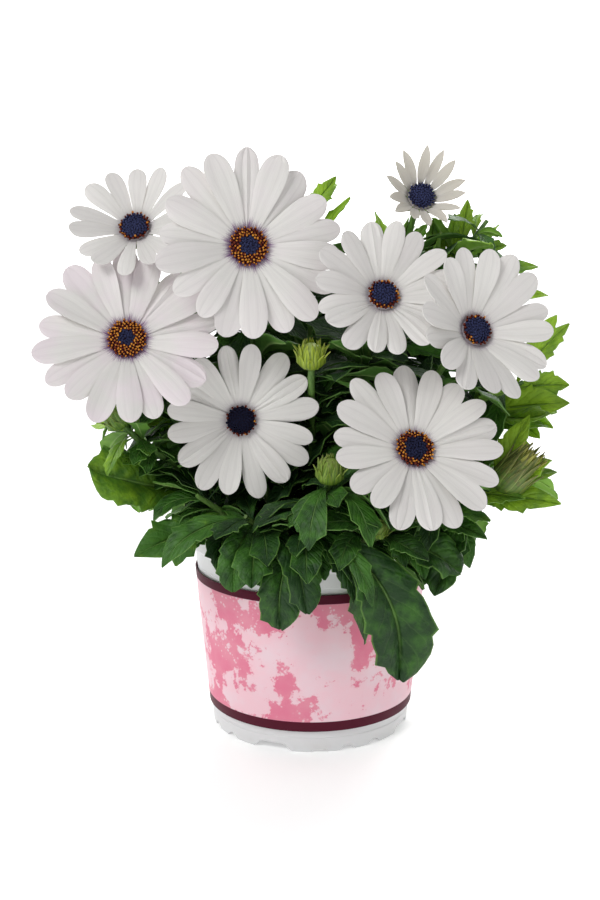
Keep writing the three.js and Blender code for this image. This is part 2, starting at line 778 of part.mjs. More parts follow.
function occupy(points, owner) {
  for (const point of points) {
    const key = cellOf(...point);
    if (!occupied.has(key)) occupied.set(key, []);
    occupied.get(key).push({ point, owner });
  }
}

function nearOthers(point, owner, own) {
  for (let i = -1; i <= 1; i += 1) {
    for (let j = -1; j <= 1; j += 1) {
      for (let k = -1; k <= 1; k += 1) {
        const beside = add(point, [i, j, k], clearOfOthers);
        const found = occupied.get(cellOf(...beside)) ?? [];
        for (const other of found) {
          const apart = add(other.point, point, -1);
          const limit = other.owner === owner ? own : clearOfOthers;
          if (dot(apart, apart) < limit * limit) return true;
        }
      }
    }
  }
  return false;
}

function inPot([x, y, z]) {
  const r = Math.sqrt(x * x + y * y);
  if (z < potSpace.ground) return true;
  if (z > pot.height + potSpace.above) return false;
  const rim = z > band.top + potSpace.underRim ? pot.rimRadius : 0;
  const outside = Math.max(wallRadius(z), rim) + potSpace.outside;
  const inWall = r > wallRadius(z) - potSpace.inside;
  return r < outside && (inWall || z < soil.top + soil.mound + potSpace.soil);
}

// True in a bloom's rays, eye and calyx, and in the open space before its face.
function inBloom(point, bloom) {
  const { out } = facing(bloom);
  const from = add(point, bloom.at, -1);
  const height = dot(from, out);
  const r = Math.sqrt(Math.max(0, dot(from, from) - height * height));
  if (r > bloom.reach * bloomSpace.stretch + bloomSpace.beyond) return false;
  if (height >= bloomSpace.before) return false;
  const underCalyx = height < -calyx.depth - bloomSpace.underCalyx;
  if (r < calyx.spread + bloomSpace.beyond && !underCalyx) return true;
  const share = THREE.MathUtils.clamp((r - hub.radius) / (bloom.reach - hub.radius), 0, 1);
  const line = rayLine(bloom, bloom.lift, bloom.reach, share);
  return height > line.height - bloomSpace.behind;
}

function isClear(leaf, owner, own = clearOfOwn) {
  return leafSamples(leaf).every((point) => {
    const blocked = inPot(point) || blooms.some((bloom) => inBloom(point, bloom));
    return !blocked && !nearOthers(point, owner, own);
  });
}

function inMound(leaf) {
  const away = add(leafAt(leaf, 1).centre, mound.middle, -1).map((v, axis) => v / mound.half[axis]);
  return dot(away, away) < 1;
}

// ---------------------------------------------------------------- the leaves' places

const plants = [
  ...blooms.map((bloom) => ({ ...bloom, blooms: true, name: bloom.name.replace("bloom", "stem") })),
  ...shoots,
];
plants.forEach((plant) => Object.assign(plant, stemLine(plant), { leaves: [] }));

// Stalks hold their place before any leaf does.
for (const plant of plants) {
  const points = [];
  for (let k = 0; k <= stalkSamples; k += 1) points.push(plant.pointAt(k / stalkSamples));
  if (plant.bud) {
    const [radius, height] = plant.bud;
    for (let k = 0; k <= budSamples; k += 1) {
      const around = unit(cross(plant.arrive, [Math.cos(k), Math.sin(k), 0.3]));
      const onAxis = add(plant.end, plant.arrive, (height * k) / budSamples);
      points.push(add(onAxis, around, radius * 0.8));
    }
  }
  occupy(points, plant.name);
}

function keep(plant, leaf) {
  plant.leaves.push(leaf);
  occupy(leafSamples(leaf), plant.name);
}

for (const place of largeLeaves) {
  const plant = plants.find(({ name }) => name === place.stem);
  const leaf = leafTo(plant.pointAt(place.at), place);
  if (isClear(leaf, plant.name, 0)) keep(plant, leaf);
}

// Each further leaf follows the last by a fixed turn, and is bent or shortened until it is clear.
// Degrees and shares that are tried in this order:
const bends = [0, 14, -14, 28, -28, 42, -42, 56, -56, 75, -75];
const lowerings = [0, -22, 22];
const shortenings = [1, 0.72, 0.52];
const tries = shortenings.flatMap((shorter) =>
  lowerings.flatMap((lower) => bends.map((bend) => ({ shorter, lower, bend }))),
);
const leafSize = { least: 0.86, spread: 0.28, atTop: 0.5 };
const leafSlimness = { least: 0.37, spread: 0.1 };
const leafSpread = { rise: 20, roll: 50 };
const turnPerPlant = 61;
plants.forEach((plant, plantIndex) => {
  const random = chance(977 + 71 * plantIndex);
  const rule = plant.blooms ? onBloomStems : onShoots;
  const count = Math.round(plant.span / rule.each);
  for (let index = 0; index < count; index += 1) {
    const up = (index + 0.5) / count;
    const at = mix(rule.from, rule.to, up);
    const size = (leafSize.least + leafSize.spread * random()) * mix(1, leafSize.atTop, up * up);
    const turn = plantIndex * turnPerPlant + index * turnPerLeaf;
    const rise = mix(rule.rise[0], rule.rise[1], up) + leafSpread.rise * (random() - 0.5);
    const roll = leafSpread.roll * (random() - 0.5);
    const slim = leafSlimness.least + leafSlimness.spread * random();
    for (const { shorter, lower, bend } of tries) {
      const length = rule.length * size * shorter;
      const leaf = {
        base: plant.pointAt(at),
        turn: turn + bend,
        rise: rise + lower,
        droop: rule.droop * (1.1 - 0.5 * up),
        roll,
        length,
        width: length * slim,
        blade: plainBlade,
      };
      if (inMound(leaf) && isClear(leaf, plant.name)) {
        keep(plant, leaf);
        break;
      }
    }
  }
});

// ---------------------------------------------------------------- finishes

function finish(color, roughness) {
  return new THREE.MeshStandardMaterial({ color, roughness, metalness: 0 });
}

const finishes = {
  pot: finish(0xf2f2f4, 0.45),
  band: finish(0xf0a8bf, 0.35),
  soil: finish(0x3a2a1e, 0.95),
  ray: finish(0xefe8ea, 0.55),
  eye: finish(0x232852, 0.7),
  green: finish(0x37652a, 0.5),
};

// ---------------------------------------------------------------- assembly

const plantGroup = new THREE.Group();

function addPiece(name, geometry, material) {
  const mesh = new THREE.Mesh(geometry, material);
  mesh.name = name;
  plantGroup.add(mesh);
}

addPiece("pot", geometryOfSolid(potSolid()), finishes.pot);
addPiece("label_band", geometryOfSolid(bandSolid()), finishes.band);
addPiece("soil", geometryOfSolid(soilSolid(plants.map(({ root }) => root))), finishes.soil);

for (const plant of plants) {
  const endRadius = plant.blooms || plant.bud ? stemRadius.head : stemRadius.shoot;
  const parts = [solidOf(stemGeometry(plant.line, stemRadius.foot, endRadius))];
  if (plant.blooms) parts.push(solidOf(calyxGeometry(plant)));
  if (plant.bud) parts.push(solidOf(budGeometry(plant.end, plant.arrive, plant.bud)));
  for (const leaf of plant.leaves) parts.push(solidOf(leafGeometry(leaf)));
  addPiece(plant.name, geometryOfSolid(wasm.Manifold.union(parts)), finishes.green);
}

for (const bloom of blooms) {
  addPiece(bloom.name + "_rays", raysGeometry(bloom), finishes.ray);
  addPiece(bloom.name + "_eye", eyeGeometry(bloom), finishes.eye);
}

export default plantGroup;
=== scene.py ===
import math
import random

import bmesh
import bpy
import numpy as np
from mathutils import Matrix, Vector


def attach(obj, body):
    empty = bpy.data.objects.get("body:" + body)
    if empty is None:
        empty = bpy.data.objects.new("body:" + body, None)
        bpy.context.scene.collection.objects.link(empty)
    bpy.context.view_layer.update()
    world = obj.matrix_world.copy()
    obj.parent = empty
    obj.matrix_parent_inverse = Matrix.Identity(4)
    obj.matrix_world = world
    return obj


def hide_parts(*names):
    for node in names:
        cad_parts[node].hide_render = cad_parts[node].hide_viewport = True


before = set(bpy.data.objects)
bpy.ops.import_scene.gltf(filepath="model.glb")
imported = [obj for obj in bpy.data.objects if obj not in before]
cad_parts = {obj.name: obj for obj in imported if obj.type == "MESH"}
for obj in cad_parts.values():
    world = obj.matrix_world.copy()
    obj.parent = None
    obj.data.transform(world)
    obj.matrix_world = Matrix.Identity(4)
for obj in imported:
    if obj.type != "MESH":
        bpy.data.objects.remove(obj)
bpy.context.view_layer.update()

mm = 0.001  # every dimension below is in millimetres, every mesh in metres
print("frame loaded:", len(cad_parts), "solids")


def leaveAll():  # object mode, nothing selected
    if bpy.context.object and bpy.context.object.mode != "OBJECT":
        bpy.ops.object.mode_set(mode="OBJECT")
    bpy.ops.object.select_all(action="DESELECT")


def choose(*pieces):  # these are selected, the first is the active one
    leaveAll()
    for piece in pieces:
        piece.select_set(True)
    bpy.context.view_layer.objects.active = pieces[0]


def openMesh(piece):  # into edit mode, nothing selected
    choose(piece)
    bpy.ops.object.mode_set(mode="EDIT")
    bpy.ops.mesh.select_mode(type="VERT")
    bpy.ops.mesh.select_all(action="DESELECT")


def closeMesh():
    bpy.ops.object.mode_set(mode="OBJECT")


def pickPoints(piece, test):  # the points that pass the test, and what lies between them
    net = bmesh.from_edit_mesh(piece.data)
    for point in net.verts:
        point.select = bool(test(point.co))
    net.select_flush_mode()
    bmesh.update_edit_mesh(piece.data)


def newPiece(name):  # the object that was made last gets its name
    piece = bpy.context.object
    piece.name = name
    piece.data.name = name
    return piece


def added(name, primitive, **settings):
    leaveAll()
    primitive(**settings)
    return newPiece(name)


def settle():  # the active piece's place and scale go into its mesh
    bpy.ops.object.transform_apply(location=True, rotation=True, scale=True)


def applied(piece, kind, **settings):  # adds a modifier and applies it
    choose(piece)
    step = piece.modifiers.new(kind.lower(), kind)
    for name, value in settings.items():
        setattr(step, name, value)
    bpy.ops.object.modifier_apply(modifier=step.name)
    return piece


def spun(name, profile, steps, closed=False):  # a profile of (radius, height), turned round the z axis
    points = [Vector((r * mm, 0, z * mm)) for r, z in profile]
    piece = added(name, bpy.ops.mesh.primitive_plane_add, size=mm, location=points[0])
    settle()
    openMesh(piece)
    bpy.ops.mesh.select_all(action="SELECT")
    bpy.ops.mesh.merge(type="CENTER")
    for before, after in zip(points, points[1:] + points[:1] * closed):
        bpy.ops.mesh.extrude_region_move(TRANSFORM_OT_translate={"value": after - before})
    bpy.ops.mesh.select_all(action="SELECT")
    bpy.ops.mesh.spin(steps=steps, angle=math.tau, center=(0, 0, 0), axis=(0, 0, 1))
    bpy.ops.mesh.select_all(action="SELECT")
    bpy.ops.mesh.remove_doubles(threshold=0.01 * mm)
    bpy.ops.mesh.normals_make_consistent(inside=False)
    closeMesh()
    return piece


def smooth(piece, angle=35):
    choose(piece)
    bpy.ops.object.shade_smooth_by_angle(angle=math.radians(angle))
    return piece


def pointsOf(mesh):
    found = np.zeros(3 * len(mesh.vertices), np.float32)
    mesh.vertices.foreach_get("co", found)
    return found.reshape(-1, 3).astype(float)


def copyOf(master, points, name, looks=None):  # a copy with its own mesh, its points in millimetres
    mesh = master.data.copy()
    mesh.vertices.foreach_set("co", (np.asarray(points) * mm).astype(np.float32).ravel())
    for look, value in (looks or {}).items():
        values = np.full(len(mesh.vertices), value, np.float32) if np.isscalar(value) else value
        if look not in mesh.attributes:
            mesh.attributes.new(look, "FLOAT", "POINT")
        mesh.attributes[look].data.foreach_set("value", np.asarray(values, np.float32))
    piece = bpy.data.objects.new(name, mesh)
    bpy.context.collection.objects.link(piece)
    return piece


def joined(pieces, name):
    choose(*pieces)
    if len(pieces) > 1:
        bpy.ops.object.join()
    return newPiece(name)


def coat(piece, *materials):
    piece.data.materials.clear()
    for material in materials:
        piece.data.materials.append(material)
    return piece


def standIn(piece, node):  # the piece stands for a solid and moves with it
    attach(piece, "root")
    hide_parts(node)


class Value:  # a shader socket that takes part in arithmetic
    def __init__(self, tree, socket=None):
        self.tree = tree
        self.socket = socket

    def node(self, kind, settings=None, inputs=None, output=0):
        made = self.tree.nodes.new(kind)
        for name, value in (settings or {}).items():
            setattr(made, name, value)
        for name, value in (inputs or {}).items():
            if isinstance(value, Value):
                self.tree.links.new(value.socket, made.inputs[name])
            else:
                made.inputs[name].default_value = value
        return Value(self.tree, made.outputs[output])

    def maths(self, operation, *values):
        return self.node("ShaderNodeMath", {"operation": operation}, dict(enumerate(values)))

    def __add__(self, other):
        return self.maths("ADD", self, other)

    def __radd__(self, other):
        return self.maths("ADD", other, self)

    def __sub__(self, other):
        return self.maths("SUBTRACT", self, other)

    def __rsub__(self, other):
        return self.maths("SUBTRACT", other, self)

    def __mul__(self, other):
        return self.maths("MULTIPLY", self, other)

    def __rmul__(self, other):
        return self.maths("MULTIPLY", other, self)

    def __abs__(self):
        return self.maths("ABSOLUTE", self)


def rise(value, low, high):  # 0 at low, 1 at high, soft at both ends
    return value.node("ShaderNodeMapRange", {"interpolation_type": "SMOOTHSTEP"},
                      {"Value": value, "From Min": low, "From Max": high})


def tint(share, first, second):  # from the first colour to the second
    colours = [c if isinstance(c, Value) else (*c, 1) for c in (first, second)]
    return share.node("ShaderNodeMix", {"data_type": "RGBA"}, {0: share, 6: colours[0], 7: colours[1]},
                      output=2)


def noise(start, place, scale, detail=3, roughness=0.55):
    return start.node("ShaderNodeTexNoise", {}, {"Vector": place, "Scale": scale, "Detail": detail,
                                                 "Roughness": roughness})


def partOf(place, axis):  # its x, y or z
    return place.node("ShaderNodeSeparateXYZ", {}, {0: place}, output="xyz".index(axis))


def stretched(place, x, y, z=1):
    return place.node("ShaderNodeMapping", {}, {"Vector": place, "Scale": (x, y, z)})


def startMaterial(name):
    material = bpy.data.materials.new(name)
    material.use_nodes = True
    start = Value(material.node_tree)
    objectPlace = start.node("ShaderNodeTexCoord", output=3)
    return material, start, objectPlace


def look(start, name):  # a number that the pieces carry at their points
    return start.node("ShaderNodeAttribute", {"attribute_name": name}, output=2)


def flatPlace(start):  # on a blade: its own map, 0 to 1 from base to tip, 0 to 1 from rib to edge
    surface = start.node("ShaderNodeUVMap", {"uv_map": "UVMap"})
    return surface, partOf(surface, "x"), abs(partOf(surface, "y") * 2 - 1)


def finishMaterial(material, colour, roughness, bump=None, strength=0.3, distance=0.2, **fixed):
    tree = material.node_tree
    shader = tree.nodes["Principled BSDF"]
    for name, value in fixed.items():
        shader.inputs[name.replace("_", " ")].default_value = value
    for name, value in {"Base Color": colour, "Roughness": roughness}.items():
        if isinstance(value, Value):
            tree.links.new(value.socket, shader.inputs[name])
        else:
            shader.inputs[name].default_value = value
    if bump is not None:
        normal = bump.node("ShaderNodeBump", {}, {"Height": bump, "Strength": strength,
                                                  "Distance": distance * mm})
        tree.links.new(normal.socket, shader.inputs["Normal"])
    return material


stageLook = {  # the camera stands in millimetres, the planes and lamps in metres
    "camera": (0, -560, 227.1), "pitch": 0.1875, "pan": 0.0082, "sensor": 36, "lens": 52.468,
    "sky": (0.98, 0.99, 1), "skyStrength": 0.36, "floorGlow": 0.22, "planeSize": 12, "backdropGlow": 1.1,
    "backdrop": (0, 3, 2), "lowCloud": (0.955, 0.955, 0.955), "highCloud": (0.975, 0.975, 0.975),
    "lamps": {  # place, target, size, watts
        "keyLamp": ((-0.75, -0.95, 1.15), (0, 0, 0.15), 0.6, 11.5),
        "fillLamp": ((1.1, -0.8, 0.6), (0, 0, 0.12), 0.9, 2),
        "backLamp": ((0.35, 1.0, 0.95), (0, 0, 0.2), 0.6, 6.5),
    },
}


def glowingPlane(name, material, colour, roughness, glow, **place):
    finishMaterial(material, colour, roughness, Emission_Color=(1, 1, 1, 1), Emission_Strength=glow)
    plane = added(name, bpy.ops.mesh.primitive_plane_add, size=stageLook["planeSize"], **place)
    return coat(plane, material)


def makeStage():
    camera = bpy.data.cameras.new("camera")
    camera.sensor_fit = "VERTICAL"
    camera.sensor_height = stageLook["sensor"]
    camera.lens = stageLook["lens"]
    camera.clip_start = 0.01
    viewer = bpy.data.objects.new("camera", camera)
    viewer.location = Vector(stageLook["camera"]) * mm
    viewer.rotation_euler = (math.pi / 2 - stageLook["pitch"], 0, stageLook["pan"])
    bpy.context.collection.objects.link(viewer)
    bpy.context.scene.camera = viewer

    material, start, place = startMaterial("paleFloor")
    colour = tint(noise(start, place, 3), stageLook["lowCloud"], stageLook["highCloud"])
    floor = glowingPlane("studioFloor", material, colour, 0.8, stageLook["floorGlow"])
    backdrop = glowingPlane("studioBackdrop", startMaterial("glowingBackdrop")[0], (1, 1, 1, 1), 0.9,
                            stageLook["backdropGlow"], location=stageLook["backdrop"],
                            rotation=(math.pi / 2, 0, 0))

    world = bpy.data.worlds.new("softSky")
    world.use_nodes = True
    sky = world.node_tree.nodes["Background"]
    sky.inputs[0].default_value = (*stageLook["sky"], 1)
    sky.inputs[1].default_value = stageLook["skyStrength"]
    bpy.context.scene.world = world

    for name, (place, target, size, watts) in stageLook["lamps"].items():
        lamp = bpy.data.lights.new(name, "AREA")
        lamp.size = size
        lamp.energy = watts
        holder = bpy.data.objects.new(name, lamp)
        holder.location = place
        holder.rotation_euler = (Vector(target) - Vector(place)).to_track_quat("-Z", "Y").to_euler()
        bpy.context.collection.objects.link(holder)
    bpy.context.scene.view_settings.view_transform = "Standard"


makeStage()
print("stage and camera set")


pot = {
    "steps": 96, "height": 87, "footRadius": 43.2, "taper": 0.093, "wall": 1.5, "edge": 0.5,
    "rimRadius": 52.5, "rimHeight": 6, "rimSlope": 1.4, "rimDraft": 0.15, "lip": 2,
    "footStep": (6.2, 6.6), "rimStep": (73, 73.3), "inset": 0.25,  # the band's shallow seat
    "floorBottom": 5, "floorTop": 7, "footRing": 5, "quarters": 4, "firstNotch": -111.7,
    "notches": ((0, 10.5, 3.4), (27, 6, 1), (43, 3, 2.2), (61, 3, 2.2)),  # turn, width, height
    "drains": 6, "drainRadius": 4, "drainCircle": 24,
    "white": (0.68, 0.68, 0.685), "dust": (0.52, 0.48, 0.43), "cool": (0.7, 0.71, 0.74),
}
band = {
    "bottom": 9.8, "top": 70.5, "thickness": 0.6, "gap": 0.3, "steps": 128,
    "lowStripe": 14.2, "highStripe": 66.6,
    "maroon": (0.08, 0.007, 0.02), "pink": (0.72, 0.2, 0.3), "deepPink": (0.74, 0.28, 0.36),
    "pale": (0.83, 0.54, 0.6), "palest": (0.79, 0.61, 0.66), "stripeBlur": 0.06, "edge": 0.12,
}
soil = {
    "top": 78, "mound": 2.5, "gap": 0.3, "steps": 64, "rings": 16, "sunk": 0.6, "dips": (-0.9, 0.7),
    "crumbs": 620, "crumbSize": (0.7, 2.3), "bare": 2.4,
    "dark": (0.012, 0.008, 0.006), "brown": (0.055, 0.035, 0.022), "clod": (0.075, 0.047, 0.028),
    "bark": (0.14, 0.085, 0.045), "perlite": (0.62, 0.6, 0.55),
}


def wallRadius(z):
    return pot["footRadius"] + pot["taper"] * z


def potMaterial():
    material, start, place = startMaterial("whitePotPlastic")
    fine = noise(start, place, 900, 2)
    broad = noise(start, place, 45, 4)
    height = partOf(place, "z")
    dust = rise(height, 0.008, 0) * rise(broad, 0.45, 0.75)
    colour = tint(dust * 0.35, pot["white"], pot["dust"])
    colour = tint(rise(broad, 0.35, 0.8) * 0.1, colour, pot["cool"])
    return finishMaterial(material, colour, 0.36 + 0.12 * broad, fine + 2 * broad, 0.18, 0.08)


def notchCutter(turn, width, high):  # a gap between the feet, flared towards the ground
    middle = pot["footRadius"] - pot["footRing"] / 2
    cutter = added("notchCutter", bpy.ops.mesh.primitive_cube_add, size=1, location=(middle * mm, 0, 0))
    cutter.scale = ((2 * pot["footRing"] + 4) * mm, width, 2 * high * mm)
    settle()
    openMesh(cutter)
    pickPoints(cutter, lambda point: point.z < 0)
    bpy.ops.transform.resize(value=(1, 1 + 4 * high * mm / width, 1), center_override=(0, 0, 0))
    closeMesh()
    applied(cutter, "BEVEL", width=0.35 * high * mm, segments=3, limit_method="ANGLE",
            angle_limit=math.radians(30))
    cutter.data.transform(Matrix.Rotation(math.radians(pot["firstNotch"] + turn), 4, "Z"))
    return cutter


def drainCutter(turn):
    cutter = added("drainCutter", bpy.ops.mesh.primitive_cylinder_add, vertices=24,
                   radius=pot["drainRadius"] * mm, depth=8 * mm,
                   location=(pot["drainCircle"] * mm, 0, (pot["floorBottom"] + pot["floorTop"]) / 2 * mm))
    settle()
    cutter.data.transform(Matrix.Rotation(turn, 4, "Z"))
    return cutter


def makePot():
    ring = pot["footRadius"] - pot["footRing"]
    top, rimBottom = pot["height"], pot["height"] - pot["rimHeight"]
    footTop, seatBottom = pot["footStep"]
    seatTop, step = pot["rimStep"]
    slope = rimBottom - pot["rimSlope"]
    profile = [
        (0, pot["floorBottom"]), (ring, pot["floorBottom"]), (ring, 0), (pot["footRadius"], 0),
        (wallRadius(footTop), footTop), (wallRadius(seatBottom) - pot["inset"], seatBottom),
        (wallRadius(seatTop) - pot["inset"], seatTop), (wallRadius(step), step),
        (wallRadius(slope), slope), (pot["rimRadius"] - pot["rimDraft"], rimBottom),
        (pot["rimRadius"], top - pot["lip"]), (pot["rimRadius"], top), (wallRadius(top) - pot["wall"], top),
        (wallRadius(pot["floorTop"]) - pot["wall"], pot["floorTop"]), (0, pot["floorTop"]),
    ]
    shell = spun("pot_shell", profile, pot["steps"])
    applied(shell, "BEVEL", width=pot["edge"] * mm, segments=3, limit_method="ANGLE",
            angle_limit=math.radians(40))
    cutters = [notchCutter(turn + 360 * quarter / pot["quarters"], width * mm, high)
               for quarter in range(pot["quarters"]) for turn, width, high in pot["notches"]]
    cutters += [drainCutter(drain * math.tau / pot["drains"]) for drain in range(pot["drains"])]
    cutter = joined(cutters, "potCutters")
    applied(shell, "BOOLEAN", object=cutter, operation="DIFFERENCE", solver="EXACT")
    bpy.data.objects.remove(cutter)
    smooth(shell, 30)
    coat(shell, potMaterial())
    standIn(shell, "pot")


def bandMaterial():
    material, start, place = startMaterial("printedPinkBand")
    height = partOf(place, "z")
    clouds = noise(start, place, 34, 6, 0.66)
    ragged = noise(start, place, 260, 5, 0.75)
    patches = rise(clouds + 0.2 * (ragged - 0.5), 0.48, 0.51)
    wash = noise(start, place, 75, 4)
    deep = tint(rise(wash, 0.3, 0.7), band["pink"], band["deepPink"])
    light = tint(rise(wash, 0.35, 0.75), band["pale"], band["palest"])
    colour = tint(patches, deep, light)
    flecks = start.node("ShaderNodeTexVoronoi", {"feature": "F1"}, {"Vector": place, "Scale": 520})
    dots = rise(flecks, 0.3, 0.22) * rise(clouds, 0.53, 0.47) * rise(wash, 0.46, 0.56)
    colour = tint(dots * 0.75, colour, band["palest"])
    low, high, blur = band["lowStripe"], band["highStripe"], band["stripeBlur"]
    field = rise(height, (low - blur) * mm, (low + blur) * mm) \
        * rise(height, (high + blur) * mm, (high - blur) * mm)
    colour = tint(1 - field, colour, band["maroon"])
    fine = noise(start, place, 700, 2)
    return finishMaterial(material, colour, 0.44 + 0.1 * wash, fine, 0.06, 0.05, Specular_IOR_Level=0.1)


def bandRadius(z):
    return wallRadius(z) + band["gap"]


def makeBand():
    low, high = band["bottom"], band["top"]
    levels = [low + (high - low) * k / 8 for k in range(9)]
    profile = [(bandRadius(z) + band["thickness"], z) for z in levels]
    profile += [(bandRadius(high), high), (bandRadius(low), low)]
    sleeve = spun("label_sleeve", profile, band["steps"], closed=True)
    applied(sleeve, "BEVEL", width=band["edge"] * mm, segments=2, limit_method="ANGLE",
            angle_limit=math.radians(40))
    smooth(sleeve, 40)
    coat(sleeve, bandMaterial())
    standIn(sleeve, "label_band")


def soilRadius(z):
    return wallRadius(z) - pot["wall"] - soil["gap"]


def soilMaterial():
    material, start, place = startMaterial("crumblyCompost")
    grain = noise(start, place, 700, 5, 0.7)
    clod = noise(start, place, 120, 3)
    tone = look(start, "tone")
    colour = tint(rise(grain, 0.3, 0.7), soil["dark"], soil["brown"])
    colour = tint(rise(clod, 0.45, 0.7) * 0.5, colour, soil["clod"])
    colour = tint(rise(tone, 0.8, 0.9), colour, soil["bark"])
    colour = tint(rise(tone, 0.955, 0.965), colour, soil["perlite"])
    return finishMaterial(material, colour, 0.92, grain + clod, 0.7, 0.8)


def crumbMaster():
    crumb = added("crumb", bpy.ops.mesh.primitive_ico_sphere_add, subdivisions=1, radius=1)
    openMesh(crumb)
    pickPoints(crumb, lambda point: point.x > 0.3)
    bpy.ops.transform.translate(value=(0.35, 0.1, -0.15))
    pickPoints(crumb, lambda point: point.z < -0.4)
    bpy.ops.transform.resize(value=(0.8, 1.2, 0.7), center_override=(0, 0, 0))
    closeMesh()
    return crumb


def makeSoil():
    low, top = pot["floorTop"] + soil["gap"], soil["top"]
    wide, count = soilRadius(top), soil["rings"]
    rings = [(wide * k / count, top + soil["mound"] * (1 - k / count) - soil["sunk"])
             for k in range(count, -1, -1)]
    bed = spun("soil_bed", [(0, low), (soilRadius(low), low), *rings], soil["steps"])
    draw = random.Random(41)
    points = pointsOf(bed.data) / mm
    upper = points[:, 2] > top - 2
    inside = np.hypot(points[:, 0], points[:, 1]) < wide - 1
    for index in np.nonzero(upper & inside)[0]:  # clods and dips
        points[index, 2] += draw.uniform(*soil["dips"])
    bed.data.vertices.foreach_set("co", (points * mm).astype(np.float32).ravel())
    bed.data.attributes.new("tone", "FLOAT", "POINT")

    crumb = crumbMaster()
    shape = pointsOf(crumb.data)
    crumbs = []
    for _ in range(soil["crumbs"]):
        out = (wide - soil["bare"]) * math.sqrt(draw.random())
        turn = draw.uniform(0, math.tau)
        size = draw.uniform(*soil["crumbSize"]) * (0.6 if draw.random() < 0.6 else 1)
        middle = (out * math.cos(turn), out * math.sin(turn),
                  top + soil["mound"] * (1 - out / wide) - 0.4 + 0.25 * size)
        placed = Matrix.LocRotScale(
            Vector(middle), Matrix.Rotation(draw.uniform(0, 6), 3, Vector([draw.gauss(0, 1) for _ in "xyz"])),
            Vector((size, size * draw.uniform(0.5, 1), size * draw.uniform(0.45, 0.8))) * 0.7)
        strewn = shape @ np.array(placed.to_3x3()).T + np.array(placed.translation)
        crumbs.append(copyOf(crumb, strewn, "crumb", {"tone": draw.random()}))
    bed = joined([bed, *crumbs], "soil_bed")
    bpy.data.objects.remove(crumb)
    smooth(bed, 25)
    coat(bed, soilMaterial())
    standIn(bed, "soil")


makePot()
makeBand()
makeSoil()
print("pot, band and soil made")


# the plant grows by the same lines, places and draws as the solids do
growth = {
    "straightFoot": 6, "holeDepth": 15, "gap": 0.3, "calyxDepth": 9, "calyxSpread": 9, "hubRadius": 6,
    "hubThickness": 0.8, "turnPerLeaf": 137.5, "rayLayer": 2.6,
    "stemRadius": {"foot": 2.2, "head": 1.35, "shoot": 0.9},
    "own": 1.5, "others": 3.4,  # how far a leaf keeps from its own plant and from the others
    "bends": (0, 14, -14, 28, -28, 42, -42, 56, -56, 75, -75), "lower": (0, -22, 22),
    "shorter": (1, 0.72, 0.52), "size": (0.86, 0.28), "slim": (0.37, 0.1),  # least, spread
    "riseSpread": 20, "rollSpread": 50, "seed": 977, "seedStep": 71, "turnPerPlant": 61,
}
clear = {  # how far a leaf keeps from the pot, the soil and the parts of a bloom
    "ground": 6, "wall": 2.2, "inside": 3.5, "band": 4, "rim": 1.8, "soil": 1.5,
    "cup": 2, "stalk": 4, "back": 4.5, "front": 60, "spread": 1.05, "tips": 2,
}
bloomParts = ("name", "at", "turn", "tilt", "root", "reach", "rays", "lift", "arch", "eye")
blooms = [dict(zip(bloomParts, row)) for row in (
    ("1", (-24.4, -46, 209.6), 15, 16, (-8, -4), 37, 18, 9, 16, 7.4),
    ("2", (-71.9, -48, 173.7), 5, 26, (-30, -13), 36, 18, 10, 18, 7.4),
    ("3", (-28.1, -38, 140.3), 3, 4, (-15, -20), 31.5, 16, 8, 14, 5.9),
    ("4", (27.9, -51, 191), 7, 28, (10, -14), 29, 16, 20, 20, 5.8),
    ("5", (62.9, -57, 178.1), 25, 22, (29, -7), 32, 16, 27, 20, 5.8),
    ("6", (39.8, -64, 133.1), 13, 33, (20, -24), 34.5, 18, 12, 16, 7.2),
    ("7", (-69.9, -31, 216.4), -8, 34, (-24, 8), 26, 14, 21, 14, 6),
    ("8", (46.5, 5, 228.8), 8, 23, (14, 8), 22, 14, 46, 10, 5.4),
)]
shootParts = ("name", "root", "tip", "lean", "bud")  # the last two only where they are set
shoots = [dict(zip(shootParts, row)) for row in (
    ("shoot_front_right", (10, -38), (27, -54, 97), (0.3, -0.7, 1), (3.2, 7)),
    ("shoot_front", (-3, -32), (7.2, -57, 119.5), (0.1, -0.4, 1), (4.8, 11)),
    ("shoot_front_low", (-4, -42), (-1, -53, 100)),
    ("shoot_front_left", (-18, -36), (-26, -49, 103)),
    ("shoot_left_low", (-30, -27), (-46, -42, 110)),
    ("shoot_right_front", (24, -35), (54, -47, 104)),
    ("shoot_right_low", (36, -18), (78, -37, 113), (0.75, -0.3, 0.9), (6.8, 20)),
    ("shoot_left", (-39, -4), (-77, -32, 137.5), (-0.6, -0.5, 0.9), (4.8, 10)),
    ("shoot_centre", (1, 3), (0.2, -43, 163), (0, -0.4, 1), (5, 11)),
    ("shoot_right", (37, 6), (90, -8, 152)),
    ("shoot_top", (2, 18), (-3.4, 8, 222.6)),
    ("shoot_back_right", (24, 20), (76, 14, 219)),
    ("shoot_back", (6, 34), (24, 46, 190)),
    ("shoot_back_left", (-14, 30), (-34, 48, 185)),
    ("shoot_left_back", (-34, 18), (-78, 28, 160)),
)]
onBloomStems = {"each": 30, "from": 0.2, "to": 0.76, "length": 52, "rise": (10, 50), "droop": 58}
onShoots = {"each": 16, "from": 0.1, "to": 0.97, "length": 55, "rise": (0, 62), "droop": 64}
